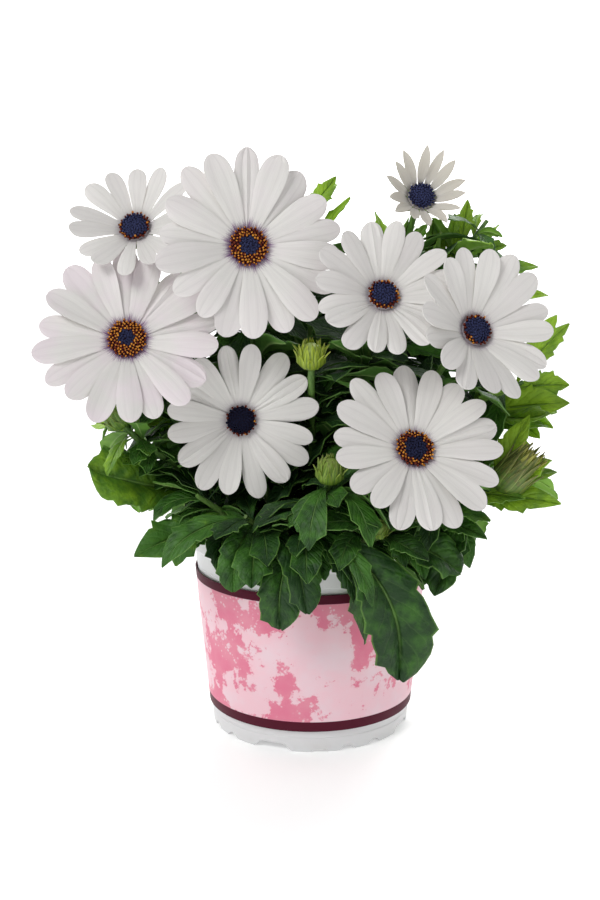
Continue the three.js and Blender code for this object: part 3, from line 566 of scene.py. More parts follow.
largeLeaves = [  # stem, place on it, tip, droop, width, roll, blade
    ("shoot_front_low", 0.9, (35.6, -68, 41), 93, 29, 46, "broad"),
    ("shoot_front_low", 0.97, (24, -73, 73), 80, 8, 30, "plain"),
    ("shoot_front_low", 0.6, (-11.5, -67, 61.6), 110, 18, -28, "broad"),
    ("shoot_front_low", 0.35, (-20.5, -60, 77.5), 100, 15, -20, "broad"),
    ("shoot_front_low", 0.75, (17, -63, 71.5), 90, 12, 30, "pointed"),
    ("shoot_left_low", 0.36, (-36.5, -58, 82), 84, 15, -14, "pointed"),
    ("shoot_left_low", 0.45, (-70.4, -54, 87.9), 14, 19, -48, "pointed"),
    ("shoot_left_low", 0.55, (-50, -50, 87), 50, 11, -20, "pointed"),
    ("shoot_left", 0.3, (-89.4, -42, 122.1), -16, 27, -58, "broad"),
    ("shoot_left", 0.9, (-81.4, -47, 119.1), 70, 9, 20, "plain"),
    ("shoot_left", 0.72, (-76.2, -38, 122.2), 30, 8, -30, "plain"),
    ("shoot_right", 0.95, (108.6, -8, 176.6), 22, 11, 58, "pointed"),
    ("shoot_right", 0.95, (105, 2, 179.3), 16, 9, 48, "plain"),
    ("shoot_right", 0.92, (108.4, -14, 151.4), 20, 13, 60, "pointed"),
    ("shoot_right", 0.72, (107.2, -22, 145), 10, 17, 62, "pointed"),
    ("shoot_right", 0.7, (98.2, -30, 141.5), -12, 10, 40, "plain"),
    ("shoot_right", 0.7, (79.8, 4, 149.3), 20, 10, 10, "plain"),
    ("shoot_right_low", 0.7, (100.8, -34, 118.3), 34, 9, 52, "plain"),
    ("shoot_right_low", 0.6, (100.9, -44, 107.2), 34, 14, 52, "pointed"),
    ("shoot_right_low", 0.42, (86, -46, 110.1), 40, 12, 45, "pointed"),
    ("shoot_right_front", 0.9, (71, -56, 103), 50, 13, 10, "pointed"),
    ("shoot_right_front", 0.7, (69.6, -58, 95.9), 46, 13, 18, "pointed"),
    ("shoot_front_right", 0.9, (59.2, -62, 83.5), 56, 22, 26, "broad"),
    ("shoot_front_right", 0.9, (45.5, -72, 91), 44, 13, 10, "pointed"),
    ("shoot_top", 0.97, (10.8, 16, 237.3), 14, 10, 30, "pointed"),
    ("shoot_top", 0.86, (16.8, 14, 228.8), 16, 6, 30, "plain"),
    ("stem_8", 0.74, (28.5, 34, 222.3), 14, 7, 0, "plain"),
    ("stem_8", 0.8, (44.6, 34, 218.4), 12, 6, 0, "plain"),
    ("shoot_back_right", 0.74, (57, 24, 218.1), 12, 6, 0, "plain"),
    ("shoot_back_right", 0.8, (62.9, 22, 221.6), 12, 6, 0, "plain"),
    ("shoot_back_right", 0.86, (68.4, 22, 227.6), 14, 9, -6, "pointed"),
    ("shoot_back_right", 0.8, (83, 28, 216.8), 12, 9, 20, "pointed"),
    ("shoot_back_right", 0.88, (84.4, 12, 208.1), 16, 6, 55, "plain"),
    ("shoot_back_right", 0.78, (97.8, 8, 199.4), 20, 8, 58, "plain"),
    ("shoot_back_right", 0.7, (101.4, 4, 187.3), 22, 8, 58, "plain"),
    ("shoot_front", 0.5, (-20.1, -66, 103.3), 44, 14, 0, "pointed"),
    ("shoot_front", 0.6, (26, -72, 104), 44, 12, 0, "pointed"),
    ("shoot_back", 0.4, (26, 89.4, 141), 60, 20, 0, "broad"),
    ("shoot_back_left", 0.2, (-24, 88, 104), 80, 20, 0, "broad"),
    ("shoot_front_left", 0.85, (-36.8, -68, 98.3), 50, 14, 0, "pointed"),
]
bladeShapes = {
    "plain": {
        "along": (0, 0.3, 0.62, 0.84, 1),
        "left": (0.05, 0.42, 1, 0.7, 0.1), "right": (0.05, 0.48, 0.9, 0.76, 0.1),
    },
    "pointed": {
        "along": (0, 0.28, 0.5, 0.56, 0.8, 1),
        "left": (0.05, 0.46, 1, 0.88, 0.6, 0.05), "right": (0.05, 0.4, 0.92, 0.88, 0.64, 0.05),
    },
    "broad": {
        "along": (0, 0.3, 0.54, 0.6, 0.85, 1),
        "left": (0.05, 0.42, 0.96, 0.8, 0.9, 0.12), "right": (0.05, 0.38, 0.9, 0.86, 0.8, 0.12),
    },
}
mound = {"middle": (2, -2, 152), "half": (100, 92, 88)}  # the leaves that fill the plant end inside it
upright = np.array([0.0, 0.0, 1.0])


def unit(a):
    return a / math.sqrt(a @ a)


def mix(a, b, share):
    return a + (b - a) * share


def chance(seed):  # a seeded row of numbers from 0 to 1
    state = seed

    def draw():
        nonlocal state
        state = (state * 1664525 + 1013904223) % 4294967296
        return state / 4294967296
    return draw


def facing(bloom):  # across, up and out of its face
    turn, tilt = math.radians(bloom["turn"]), math.radians(bloom["tilt"])
    out = np.array([math.sin(turn) * math.cos(tilt), -math.cos(turn) * math.cos(tilt), math.sin(tilt)])
    across = np.array([math.cos(turn), math.sin(turn), 0])
    return across, -np.cross(across, out), out


def rayLine(bloom, lift, reach, share):  # distance out, height and slope along a ray's midline
    arch = math.radians(bloom["arch"])
    start = math.radians(lift) + arch / 2
    length = reach - growth["hubRadius"]
    slope = start - arch * share
    out = growth["hubRadius"] + length * (np.sin(start) - np.sin(slope)) / arch
    return out, length * (np.cos(slope) - np.cos(start)) / arch, slope


def stemLine(plant):  # the curve of a stem above the soil
    x, y = plant["root"]
    start = np.array([x, y, soil["top"] + growth["straightFoot"]], float)
    if "at" in plant:
        out = facing(plant)[2]
        depth = growth["calyxDepth"] + growth["hubThickness"] / 2 + growth["gap"]
        end = np.array(plant["at"], float) - out * depth
        arrive = unit(out + 0.5 * upright)
    else:
        end = np.array(plant["tip"], float)
        lean = plant.get("lean", (end[0] - x, end[1] - y, 0.5 * (end[2] - soil["top"])))
        arrive = unit(np.array(lean, float))
    span = math.sqrt((end - start) @ (end - start))
    corners = [start, start + upright * 0.4 * span, end - arrive * 0.32 * span, end]

    def pointAt(share):
        k = 1 - share
        return (k * k * k * corners[0] + 3 * k * k * share * corners[1]
                + 3 * k * share * share * corners[2] + share * share * share * corners[3])
    return {"span": span, "pointAt": pointAt, "end": end, "arrive": arrive}


def leafAt(leaf, share):  # middle, side and face at shares of its length
    turn, rises, droop = (math.radians(leaf[key]) for key in ("turn", "rise", "droop"))
    share = np.asarray(share, float)[..., None]
    outward = np.array([math.cos(turn), math.sin(turn), 0])
    slope = rises - droop * share
    out = leaf["length"] * (math.sin(rises) - np.sin(slope)) / droop
    up = leaf["length"] * (np.cos(slope) - math.cos(rises)) / droop
    middle = leaf["base"] + outward * out + upright * up
    normal = upright * np.cos(slope) - outward * np.sin(slope)
    flat = np.array([-math.sin(turn), math.cos(turn), 0])
    roll = math.radians(leaf["roll"])
    side = (flat + normal * math.tan(roll)) * math.cos(roll)
    face = (normal - flat * math.tan(roll)) * math.cos(roll)
    return middle, side, face


def leafTo(base, tip, droop, width, roll, blade):  # the arch that takes a leaf from its base to a tip
    x, y, z = np.array(tip, float) - base
    level = math.sqrt(x * x + y * y)
    halfDroop = math.radians(droop) / 2
    return {
        "base": base, "turn": math.degrees(math.atan2(y, x)),
        "rise": math.degrees(math.atan2(z, level)) + droop / 2,
        "length": math.sqrt(level * level + z * z) * halfDroop / math.sin(halfDroop),
        "droop": droop, "width": width, "roll": roll, "blade": blade,
    }


def leafSamples(leaf, apart=1.8):  # points spread over a leaf past its stalk
    blade = bladeShapes[leaf["blade"]]
    middle, side, _ = leafAt(leaf, blade["along"])
    left = middle + side * (np.array(blade["left"]) * leaf["width"] / 2)[:, None]
    right = middle - side * (np.array(blade["right"]) * leaf["width"] / 2)[:, None]
    samples = []
    for station in range(1, len(left)):
        span = (blade["along"][station] - blade["along"][station - 1]) * leaf["length"]
        steps = max(1, math.ceil(span / apart))
        for step in range(math.ceil(steps * 0.4) if station == 1 else 1, steps + 1):
            a = left[station - 1] + (left[station] - left[station - 1]) * (step / steps)
            b = right[station - 1] + (right[station] - right[station - 1]) * (step / steps)
            columns = max(1, math.ceil(math.sqrt((b - a) @ (b - a)) / apart))
            samples.append(a + (b - a) * (np.arange(columns + 1) / columns)[:, None])
    return np.concatenate(samples)


class Room:  # the points that the plant fills, each with its owner
    def __init__(self):
        self.points = np.zeros((0, 3))
        self.owners = np.zeros(0, int)

    def fill(self, points, owner):
        self.points = np.concatenate([self.points, points])
        self.owners = np.concatenate([self.owners, np.full(len(points), owner)])

    def near(self, points, owner, own, others):
        low, high = points.min(0) - others, points.max(0) + others
        inside = np.all((self.points > low) & (self.points < high), axis=1)
        around, owners = self.points[inside], self.owners[inside]
        if not len(around):
            return False
        limits = np.where(owners == owner, own, others)
        apart = ((points[:, None] - around[None]) ** 2).sum(2)
        return bool((apart < limits * limits).any())


def inPot(points):
    x, y, z = points.T
    r = np.sqrt(x * x + y * y)
    wall = wallRadius(z)
    rim = np.where(z > band["top"] + clear["band"], pot["rimRadius"], 0)
    outside = np.maximum(wall, rim) + clear["wall"]
    filled = (r > wall - clear["inside"]) | (z < soil["top"] + soil["mound"] + clear["soil"])
    level = z <= pot["height"] + clear["rim"]
    return bool(((z < clear["ground"]) | (level & (r < outside) & filled)).any())


def inBloom(points, bloom):  # in its rays, eye and calyx, or in the open space before its face
    out = facing(bloom)[2]
    away = points - np.array(bloom["at"], float)
    height = away @ out
    r = np.sqrt(np.maximum(0, (away * away).sum(1) - height * height))
    inner = growth["hubRadius"]
    near = (r < growth["calyxSpread"] + clear["cup"]) & (height > -growth["calyxDepth"] - clear["stalk"])
    share = np.clip((r - inner) / (bloom["reach"] - inner), 0, 1)
    level = rayLine(bloom, bloom["lift"], bloom["reach"], share)[1]
    hit = (near | (height > level - clear["back"])) & (height < clear["front"])
    return bool((hit & (r <= bloom["reach"] * clear["spread"] + clear["tips"])).any())


def tryLeaf(room, plant, kind, leaf, own, others):  # the plant keeps it where nothing is in the way
    samples = leafSamples(leaf)
    if inPot(samples) or any(inBloom(samples, bloom) for bloom in blooms) \
            or room.near(samples, plant["owner"], own, others):
        return False
    plant[kind].append(leaf)
    room.fill(samples, plant["owner"])
    return True


def placeLeaves(plants, room, rows, kind, others):  # leaves that have a place of their own
    for stem, at, tip, droop, width, roll, blade in rows:
        plant = next(plant for plant in plants if plant["name"] == stem)
        leaf = leafTo(plant["pointAt"](at), tip, droop, width, roll, blade)
        tryLeaf(room, plant, kind, leaf, 0, others)


def inMound(leaf):
    away = (leafAt(leaf, 1)[0] - np.array(mound["middle"])) / np.array(mound["half"])
    return away @ away < 1


def sproutPlants():  # stems and buds, still without leaves
    plants = [dict(bloom, bloom=True, name="stem_" + bloom["name"]) for bloom in blooms]
    plants += [dict(shoot, bloom=False) for shoot in shoots]
    room = Room()
    for owner, plant in enumerate(plants):
        plant.update(stemLine(plant), owner=owner, leaves=[], extra=[], inner=[])
        points = [plant["pointAt"](k / 60) for k in range(61)]
        if "bud" in plant:
            radius, height = plant["bud"]
            along = plant["arrive"]
            for k in range(17):
                around = unit(np.cross(along, [math.cos(k), math.sin(k), 0.3]))
                points.append(plant["end"] + along * (height * k / 16) + around * radius * 0.8)
        room.fill(np.array(points), owner)
    return plants, room


def growLeaves(plants, room):  # each turns, lowers and shortens until it finds room
    for owner, plant in enumerate(plants):
        draw = chance(growth["seed"] + growth["seedStep"] * owner)
        rule = onBloomStems if plant["bloom"] else onShoots
        count = math.floor(plant["span"] / rule["each"] + 0.5)
        for index in range(count):
            up = (index + 0.5) / count
            size = (growth["size"][0] + growth["size"][1] * draw()) * mix(1, 0.5, up * up)
            turn = owner * growth["turnPerPlant"] + index * growth["turnPerLeaf"]
            rises = mix(*rule["rise"], up) + growth["riseSpread"] * (draw() - 0.5)
            roll = growth["rollSpread"] * (draw() - 0.5)
            slim = growth["slim"][0] + growth["slim"][1] * draw()
            tries = ((shorter, lower, bend) for shorter in growth["shorter"] for lower in growth["lower"]
                     for bend in growth["bends"])
            for shorter, lower, bend in tries:
                length = rule["length"] * size * shorter
                leaf = {
                    "base": plant["pointAt"](mix(rule["from"], rule["to"], up)), "turn": turn + bend,
                    "rise": rises + lower, "droop": rule["droop"] * (1.1 - 0.5 * up), "roll": roll,
                    "length": length, "width": length * slim, "blade": "plain",
                }
                if inMound(leaf) and tryLeaf(room, plant, "leaves", leaf, growth["own"], growth["others"]):
                    break


plants, room = sproutPlants()
placeLeaves(plants, room, largeLeaves, "leaves", growth["others"])
growLeaves(plants, room)
print("leaves as in the solids:", sum(len(plant["leaves"]) for plant in plants))


leafLook = {
    "thickness": 0.4, "wave": 0.075, "ripples": (1.7, 2.8), "buckle": 0.014, "bend": 1.3,
    "litAbove": (165, 60),  # height where painted light brightens them, over what height
    "litBeside": (3, 45, 40),  # middle, distance where painted light brightens them, over what distance
    # painted light, random tone and blotches pick between the deep, middle and bright greens
    "deep": (0.01, 0.042, 0.007), "middle": (0.045, 0.145, 0.014), "bright": (0.29, 0.5, 0.022),
    "vein": (0.27, 0.47, 0.12), "edge": (0.17, 0.34, 0.06), "under": (0.08, 0.2, 0.035),
    "underBright": (0.22, 0.42, 0.06), "underRib": (0.33, 0.48, 0.17),
    "stemDark": (0.05, 0.13, 0.02), "stemBright": (0.13, 0.25, 0.05), "stemFoot": (0.09, 0.06, 0.025),
}
extraLeaves = [  # rows as in largeLeaves, for leaves that show between the blooms
    ("stem_8", 0.66, (42.2, 20, 219.9), 14, 7, 10, "plain"),
    ("stem_8", 0.6, (47, 14, 215.7), 14, 8, -10, "plain"),
    ("stem_8", 0.56, (36.5, 16, 214.5), 14, 7, 0, "plain"),
    ("shoot_back_right", 0.7, (53.3, 22, 219.1), 12, 6, 0, "plain"),
    ("shoot_back_right", 0.66, (55.8, 10, 213.6), 14, 8, 10, "plain"),
    ("shoot_back_right", 0.78, (66.3, 26, 217.8), 12, 7, 0, "plain"),
    ("shoot_back_right", 0.82, (73.9, 20, 214.2), 14, 8, 10, "pointed"),
    ("shoot_right", 0.62, (98.3, -24, 135.3), 20, 10, 40, "pointed"),
    ("shoot_right_low", 0.55, (85.1, -22, 129.4), 40, 11, 30, "pointed"),
    ("shoot_right_low", 0.45, (79.4, -20, 119.7), 40, 11, 20, "pointed"),
    ("shoot_front_low", 0.7, (16.3, -65, 80.3), 90, 12, 10, "pointed"),
    ("shoot_right_front", 0.4, (37.3, -62, 85.7), 70, 12, 10, "pointed"),
    ("shoot_right_front", 0.5, (45.1, -61, 80.6), 80, 13, 10, "pointed"),
    ("shoot_top", 0.5, (8.9, -12, 178.3), 30, 12, 0, "plain"),
    ("shoot_top", 0.42, (-10.7, -15, 178.5), 30, 12, 0, "plain"),
    ("stem_5", 0.5, (50.6, -15, 163.8), 30, 12, 0, "plain"),
    ("shoot_centre", 0.7, (17, -14, 166), 30, 12, 0, "plain"),
    ("shoot_right_low", 0.78, (49.6, -55, 72), 50, 17, 0, "broad"),
    ("shoot_front_right", 0.65, (45.6, -50.6, 73.2), 50, 14, -25, "plain"),
    ("shoot_right_low", 0.89, (90, -27.2, 140.9), 14, 13, 30, "pointed"),
    ("shoot_right", 0.8, (101.6, -17, 133.4), 30, 11, 30, "pointed"),
    ("shoot_right", 0.78, (106, -2, 138), 14, 10, 30, "plain"),
    ("shoot_front_left", 0.47, (-1.1, -72.5, 69.9), 110, 17, 0, "broad"),
    ("shoot_front_low", 0.33, (5.5, -61.6, 80.3), 110, 10, 0, "plain"),
    ("shoot_front_left", 0.63, (-30.2, -65.5, 76.5), 110, 15, -25, "broad"),
    ("shoot_front_left", 0.63, (-22.5, -74.1, 80.8), 50, 16, 0, "plain"),
    ("shoot_front_right", 0.8, (22.2, -56.1, 52.4), 80, 13, 25, "pointed"),
    ("shoot_front_left", 0.84, (-58.1, -66, 86.6), 80, 14, -25, "pointed"),
    ("shoot_right_low", 0.88, (102, -21.5, 108.3), 60, 11, -55, "plain"),
    ("shoot_right_low", 0.66, (72.6, -27.9, 91), 14, 8, -55, "plain"),
    ("shoot_back_right", 0.93, (81.3, 5.6, 212), 90, 5, -55, "plain"),
    ("stem_8", 0.8, (51.2, 24, 217), 14, 6, -55, "plain"),
    ("shoot_back_right", 0.93, (72.8, 24.3, 221.2), 60, 7, -30, "plain"),
    ("shoot_left", 0.78, (-71.9, -24.2, 98.6), 30, 12, 55, "plain"),
    ("stem_8", 0.38, (-4.2, 28.5, 176.3), 30, 17, -30, "plain"),
    ("shoot_left", 0.22, (-70.5, -2.6, 93.9), 60, 13, 0, "plain"),
]
gapLeaves = [  # these come last, where it is still open
    ("shoot_right", 0.83, (96.3, -16.9, 129.1), 14, 8, 55, "plain"),
    ("shoot_back_right", 0.84, (53, 22.2, 219.9), 30, 9, 55, "plain"),
    ("stem_1", 0.64, (-39.1, -26.5, 169.9), 30, 6, -55, "plain"),
    ("shoot_left_low", 0.55, (-53.9, -53.3, 83.5), 80, 12, -25, "plain"),
    ("shoot_right_low", 0.94, (101.2, -34, 106.7), 90, 9, -30, "plain"),
    ("shoot_right_low", 0.86, (96.6, -43.8, 125.1), 14, 13, 30, "plain"),
    ("shoot_front_right", 0.62, (46.3, -50.6, 75.4), 50, 15, 0, "plain"),
    ("stem_5", 0.77, (57.6, -21.7, 158.8), 60, 6, 0, "plain"),
]
rimLeaves = {  # they come over the rim and hang in front of it
    "stems": ("shoot_front", "shoot_front_low", "shoot_front_left", "shoot_front_right", "shoot_left_low",
              "shoot_right_front", "shoot_right_low"),
    "each": 2.6, "from": 0.2, "to": 0.97, "turn": (-178, -5), "length": (24, 44), "rise": (-5, 50),
    "droop": (60, 125), "slim": (0.3, 0.42), "roll": 32, "own": 0.5, "others": 0.9, "tries": 26,
    "hang": (76, 104), "out": (55, 78), "seed": 61,
}
innerLeaves = {
    "each": 1.6, "from": 0.04, "to": 0.96, "turn": (0, 360), "length": (16, 38), "rise": (-25, 60),
    "droop": (35, 80), "slim": (0.3, 0.42), "roll": 35, "own": 0.5, "others": 0.7, "tries": 20,
    # shade: how far painted shade darkens the leaves deep inside the mound
    "middle": (2, -4, 150), "half": (96, 76, 90), "corner": (-28, -38, 118), "shade": 0.5, "seed": 733,
}
outlines = {  # half widths at both edges, from base to tip
    "plain": {
        "along": (0, 0.12, 0.3, 0.45, 0.58, 0.66, 0.76, 0.86, 0.93, 0.97, 1),
        "left": (0.06, 0.13, 0.42, 0.75, 0.97, 1, 0.88, 0.64, 0.4, 0.24, 0.06),
        "right": (0.06, 0.15, 0.46, 0.7, 0.86, 0.9, 0.84, 0.66, 0.42, 0.24, 0.06),
    },
    "pointed": {
        "along": (0, 0.12, 0.28, 0.4, 0.5, 0.6, 0.7, 0.8, 0.88, 0.95, 1),
        "left": (0.06, 0.15, 0.45, 0.75, 0.95, 0.92, 0.8, 0.6, 0.38, 0.18, 0.02),
        "right": (0.06, 0.13, 0.4, 0.68, 0.88, 0.93, 0.84, 0.62, 0.42, 0.2, 0.02),
    },
    "broad": {
        "along": (0, 0.12, 0.3, 0.42, 0.52, 0.6, 0.7, 0.8, 0.87, 0.93, 0.97, 1),
        "left": (0.06, 0.14, 0.42, 0.7, 0.9, 0.9, 0.95, 0.95, 0.85, 0.6, 0.36, 0.08),
        "right": (0.06, 0.13, 0.38, 0.66, 0.86, 0.88, 0.9, 0.85, 0.74, 0.54, 0.32, 0.08),
    },
    "bract": {"along": (0, 0.3, 0.6, 0.85, 1), "both": (0.75, 1, 0.8, 0.4, 0.03)},
    "ray": {
        "along": (0, 0.12, 0.25, 0.4, 0.55, 0.7, 0.8, 0.87, 0.92, 0.96, 0.985, 1),
        "both": (0.3, 0.42, 0.54, 0.72, 0.9, 1, 0.98, 0.9, 0.77, 0.57, 0.36, 0.1),
    },
    "slender": {
        "along": (0, 0.15, 0.4, 0.6, 0.8, 0.92, 1), "both": (0.25, 0.5, 0.8, 0.85, 0.66, 0.36, 0.05),
    },
}
bladeFolds = {  # place between rib and edge, height
    "leaf": ((0, -0.2), (1 / 3, 0.03), (2 / 3, 0.08), (1, 0)), "inner": ((0, -0.16), (1, 0.03)),
    "bract": ((0, 0.3), (1, -0.1)), "ray": ((0, 0.07), (1 / 3, -0.15), (2 / 3, 0.07), (1, -0.11)),
    "slender": ((0, -0.3), (1 / 3, -0.12), (2 / 3, 0.1), (1, 0.3)),
}
leafBlades = {  # columns, rows, outline, fold, teeth at the left, at the right, how far they stand out
    "pointed0": (24, 6, "pointed", "leaf", (12, 17), (14, 19), 0.17),
    "pointed1": (24, 6, "pointed", "leaf", (14,), (11, 16), 0.19),
    "broad0": (24, 6, "broad", "leaf", (13, 18), (11, 16, 21), 0.12),
    "broad1": (24, 6, "broad", "leaf", (11, 16, 20), (14, 19), 0.11),
    "plain0": (14, 6, "plain", "leaf", (8, 11), (10,), 0.18),
    "plain1": (14, 6, "plain", "leaf", (9,), (7, 11), 0.18),
    "inner0": (8, 2, "plain", "inner", (4,), (6,), 0.2),
    "inner1": (8, 2, "plain", "inner", (6,), (5,), 0.2),
}


def bladeMaster(name, columns, rows, outline, fold, teeth=(), crowding=1):
    # a flat blade from 0 to 1 along x, its widest half 1, folded along its midrib, with its columns
    # crowded towards the tip
    outline = outlines[outline]
    blade = added(name, bpy.ops.mesh.primitive_grid_add, x_subdivisions=columns, y_subdivisions=rows, size=2)
    openMesh(blade)
    bpy.ops.mesh.select_all(action="SELECT")
    bpy.ops.transform.translate(value=(1, 0, 0))
    bpy.ops.transform.resize(value=(0.5, 1, 1), center_override=(0, 0, 0))
    for y, z in bladeFolds[fold]:
        pickPoints(blade, lambda point: abs(abs(point.y) - y) < 0.01)
        bpy.ops.transform.translate(value=(0, 0, z))
    for column in range(columns, -1, -1):
        x = 1 - (1 - column / columns) ** crowding
        pickPoints(blade, lambda point: abs(point.x - column / columns) < 0.001)
        bpy.ops.transform.translate(value=(x - column / columns, 0, 0))
        left, right = (float(np.interp(x, outline["along"], outline[edge if edge in outline else "both"]))
                       for edge in ("left", "right"))
        bpy.ops.transform.resize(value=(1, 1, left), center_override=(x, 0, 0))
        for side, width in ((1, left), (-1, right)):
            pickPoints(blade, lambda point: abs(point.x - x) < 0.001 and point.y * side > 0.001)
            bpy.ops.transform.resize(value=(1, width, 1), center_override=(x, 0, 0))
            for place, toothSide, forward, out in teeth:
                if place == column and toothSide == side:
                    pickPoints(blade, lambda point: abs(point.x - x) < 0.001
                               and abs(point.y - side * width) < 0.001)
                    bpy.ops.transform.translate(value=(forward, side * out, 0))
    closeMesh()
    return blade


def toothRow(columns, left, right, out):  # teeth at these columns of each side, a notch behind each
    teeth = []
    for places, side in ((left, 1), (right, -1)):
        for place in places:
            teeth += [(place, side, 0.5 / columns, out), (place + 1, side, 0.1 / columns, -0.6 * out)]
    return teeth


def leafMaterial():
    material, start, place = startMaterial("leafUpperSkin")
    _, along, fromRib = flatPlace(start)
    light, tone = look(start, "light"), look(start, "tone")
    blotch = noise(start, place, 160, 3)
    fine = noise(start, place, 1500, 3)
    # painted light: the light look brightens lit leaves and darkens shaded ones, tone and blotch vary at
    # random
    bright = light * 0.75 + tone * 0.3 + blotch * 0.9 - 0.42
    colour = tint(rise(bright, 0, 0.42), leafLook["deep"], leafLook["middle"])
    colour = tint(rise(bright, 0.4, 1.05), colour, leafLook["bright"])
    slant = along * 9 - fromRib * 2.2 + blotch * 0.4
    veins = slant.maths("PINGPONG", slant, 0.5)
    sideVein = rise(veins, 0.07, 0.0) * rise(fromRib, 0.95, 0.6)
    rib = rise(fromRib, 0.075, 0.02) * rise(along, 1, 0.6)
    rim = rise(fromRib, 0.93, 0.985) * rise(along, 0.2, 0.4)
    colour = tint(sideVein * 0.05, colour, leafLook["vein"])
    # the rib is painted paler on leaves that carry more painted light
    colour = tint(rib * (0.3 + 0.3 * light), colour, leafLook["vein"])
    colour = tint(rim * 0.45, colour, leafLook["edge"])
    pucker = rise(veins, 0, 0.25) * 0.12 + fine * 0.08 + blotch - rib * 0.5
    return finishMaterial(material, colour, 0.42 + 0.2 * fine, pucker, 0.9, 1.8, Specular_IOR_Level=0.36)


def leafUnderMaterial():
    material, start, place = startMaterial("leafUnderSkin")
    fromRib = flatPlace(start)[2]
    blotch = noise(start, place, 200, 3)
    # painted light: undersides brighten with the leaf's painted light, blotches vary at random
    bright = look(start, "light") + blotch * 0.6
    colour = tint(rise(bright, 0.3, 1.2), leafLook["under"], leafLook["underBright"])
    rib = rise(fromRib, 0.14, 0.02)
    colour = tint(rib * 0.6, colour, leafLook["underRib"])
    return finishMaterial(material, colour, 0.6, rib + 0.4 * blotch, 0.4, 0.4, Specular_IOR_Level=0.2)


def stemMaterial():
    material, start, place = startMaterial("ribbedStemSkin")
    ribs = noise(start, stretched(place, 900, 900, 60), 1, 2)
    blotch = noise(start, place, 90, 3)
    height = partOf(place, "z")
    colour = tint(rise(ribs + blotch * 0.5, 0.5, 1), leafLook["stemDark"], leafLook["stemBright"])
    colour = tint(rise(height + 0.06 * blotch, 0.15, 0.1) * 0.5, colour, leafLook["stemFoot"])
    return finishMaterial(material, colour, 0.5, ribs, 0.5, 0.3)


def bendLeaf(leaf, shape, draw):  # the flat blade's points, laid on the leaf's arch
    x, y, z = shape.T
    middle, side, face = leafAt(leaf, x)
    half = leaf["width"] / 2
    phase = draw.uniform(0, math.tau) + 1.9 * (y > 0)
    ripples = draw.uniform(*leafLook["ripples"])
    wave = leafLook["wave"] * leaf["width"] * y * y * np.sin(math.tau * ripples * x + phase)
    buckle = leafLook["buckle"] * leaf["length"] * np.sin(math.tau * leafLook["bend"] * x + phase) * x
    return middle + side * (y * half)[:, None] + face * (z * half + wave + buckle)[:, None]


def paintedLightOn(leaf):  # painted light: outer leaves at the top and the sides are painted brighter, as where the light falls on them
    x, _, z = leafAt(leaf, 0.7)[0]
    level, rises = leafLook["litAbove"]
    middle, aside, widens = leafLook["litBeside"]
    top = np.clip((z - level) / rises, 0, 1)
    sides = np.clip((abs(x - middle) - aside) / widens, 0, 1)
    return float(max(top, 0.9 * sides))


def atLowCorner(tip):  # two large leaves show here, so no small ones grow over them
    return bool((tip < np.array(innerLeaves["corner"])).all())


def overRim(tip):
    low, high = rimLeaves["hang"]
    near, far = rimLeaves["out"]
    return low < tip[2] < high and near < math.hypot(tip[0], tip[1]) < far and not atLowCorner(tip)


def heartShare(tip):  # 0 in the middle of the mound, 1 at its edge
    away = (tip - np.array(innerLeaves["middle"])) / np.array(innerLeaves["half"])
    return float(away @ away)


def inHeart(tip):
    return heartShare(tip) < 1 and not atLowCorner(tip)


def growInnerLeaves(plants, room, rule, wanted):  # smaller leaves, only where they are wanted
    draw = random.Random(rule["seed"])
    for plant in plants:
        for _ in range(round(plant["span"] / rule["each"])):
            base = plant["pointAt"](draw.uniform(rule["from"], 0.8 if plant["bloom"] else rule["to"]))
            for _ in range(rule["tries"]):
                length = draw.uniform(*rule["length"])
                leaf = {
                    "base": base, "turn": draw.uniform(*rule["turn"]), "rise": draw.uniform(*rule["rise"]),
                    "droop": draw.uniform(*rule["droop"]), "roll": draw.uniform(-1, 1) * rule["roll"],
                    "length": length, "width": length * draw.uniform(*rule["slim"]), "blade": "plain",
                }
                tip = leafAt(leaf, 1)[0]
                if wanted(tip) and tryLeaf(room, plant, "inner", leaf, rule["own"], rule["others"]):
                    break


def stemTube(plant):
    curve = bpy.data.curves.new("stemLine", "CURVE")
    curve.dimensions = "3D"
    curve.bevel_depth = mm
    curve.bevel_resolution = 2
    curve.use_fill_caps = True
    steps = 20
    foot = np.array([*plant["root"], soil["top"] - growth["holeDepth"] + growth["gap"]])
    route = [foot] + [plant["pointAt"](k / steps) for k in range(steps + 1)]
    spline = curve.splines.new("POLY")
    spline.points.add(len(route) - 1)
    first = growth["stemRadius"]["foot"]
    last = growth["stemRadius"]["head" if plant["bloom"] or "bud" in plant else "shoot"]
    for index, place in enumerate(route):
        spline.points[index].co = (*(place * mm), 1)
        spline.points[index].radius = mix(first, last, index / (len(route) - 1))
    tube = bpy.data.objects.new("stemTube", curve)
    bpy.context.collection.objects.link(tube)
    choose(tube)
    bpy.ops.object.convert(target="MESH")
    return newPiece("stemTube")


masters = {}
for name, (columns, rows, outline, fold, left, right, out) in leafBlades.items():
    teeth = toothRow(columns, left, right, out)
    masters[name] = bladeMaster(name + "Leaf", columns, rows, outline, fold, teeth)
placeLeaves(plants, room, extraLeaves, "extra", innerLeaves["others"])
overRimPlants = [plant for plant in plants if plant["name"] in rimLeaves["stems"]]
growInnerLeaves(overRimPlants, room, rimLeaves, overRim)
growInnerLeaves(plants, room, innerLeaves, inHeart)
placeLeaves(plants, room, gapLeaves, "extra", innerLeaves["others"])
print("inner leaves:", sum(len(plant["inner"]) for plant in plants))


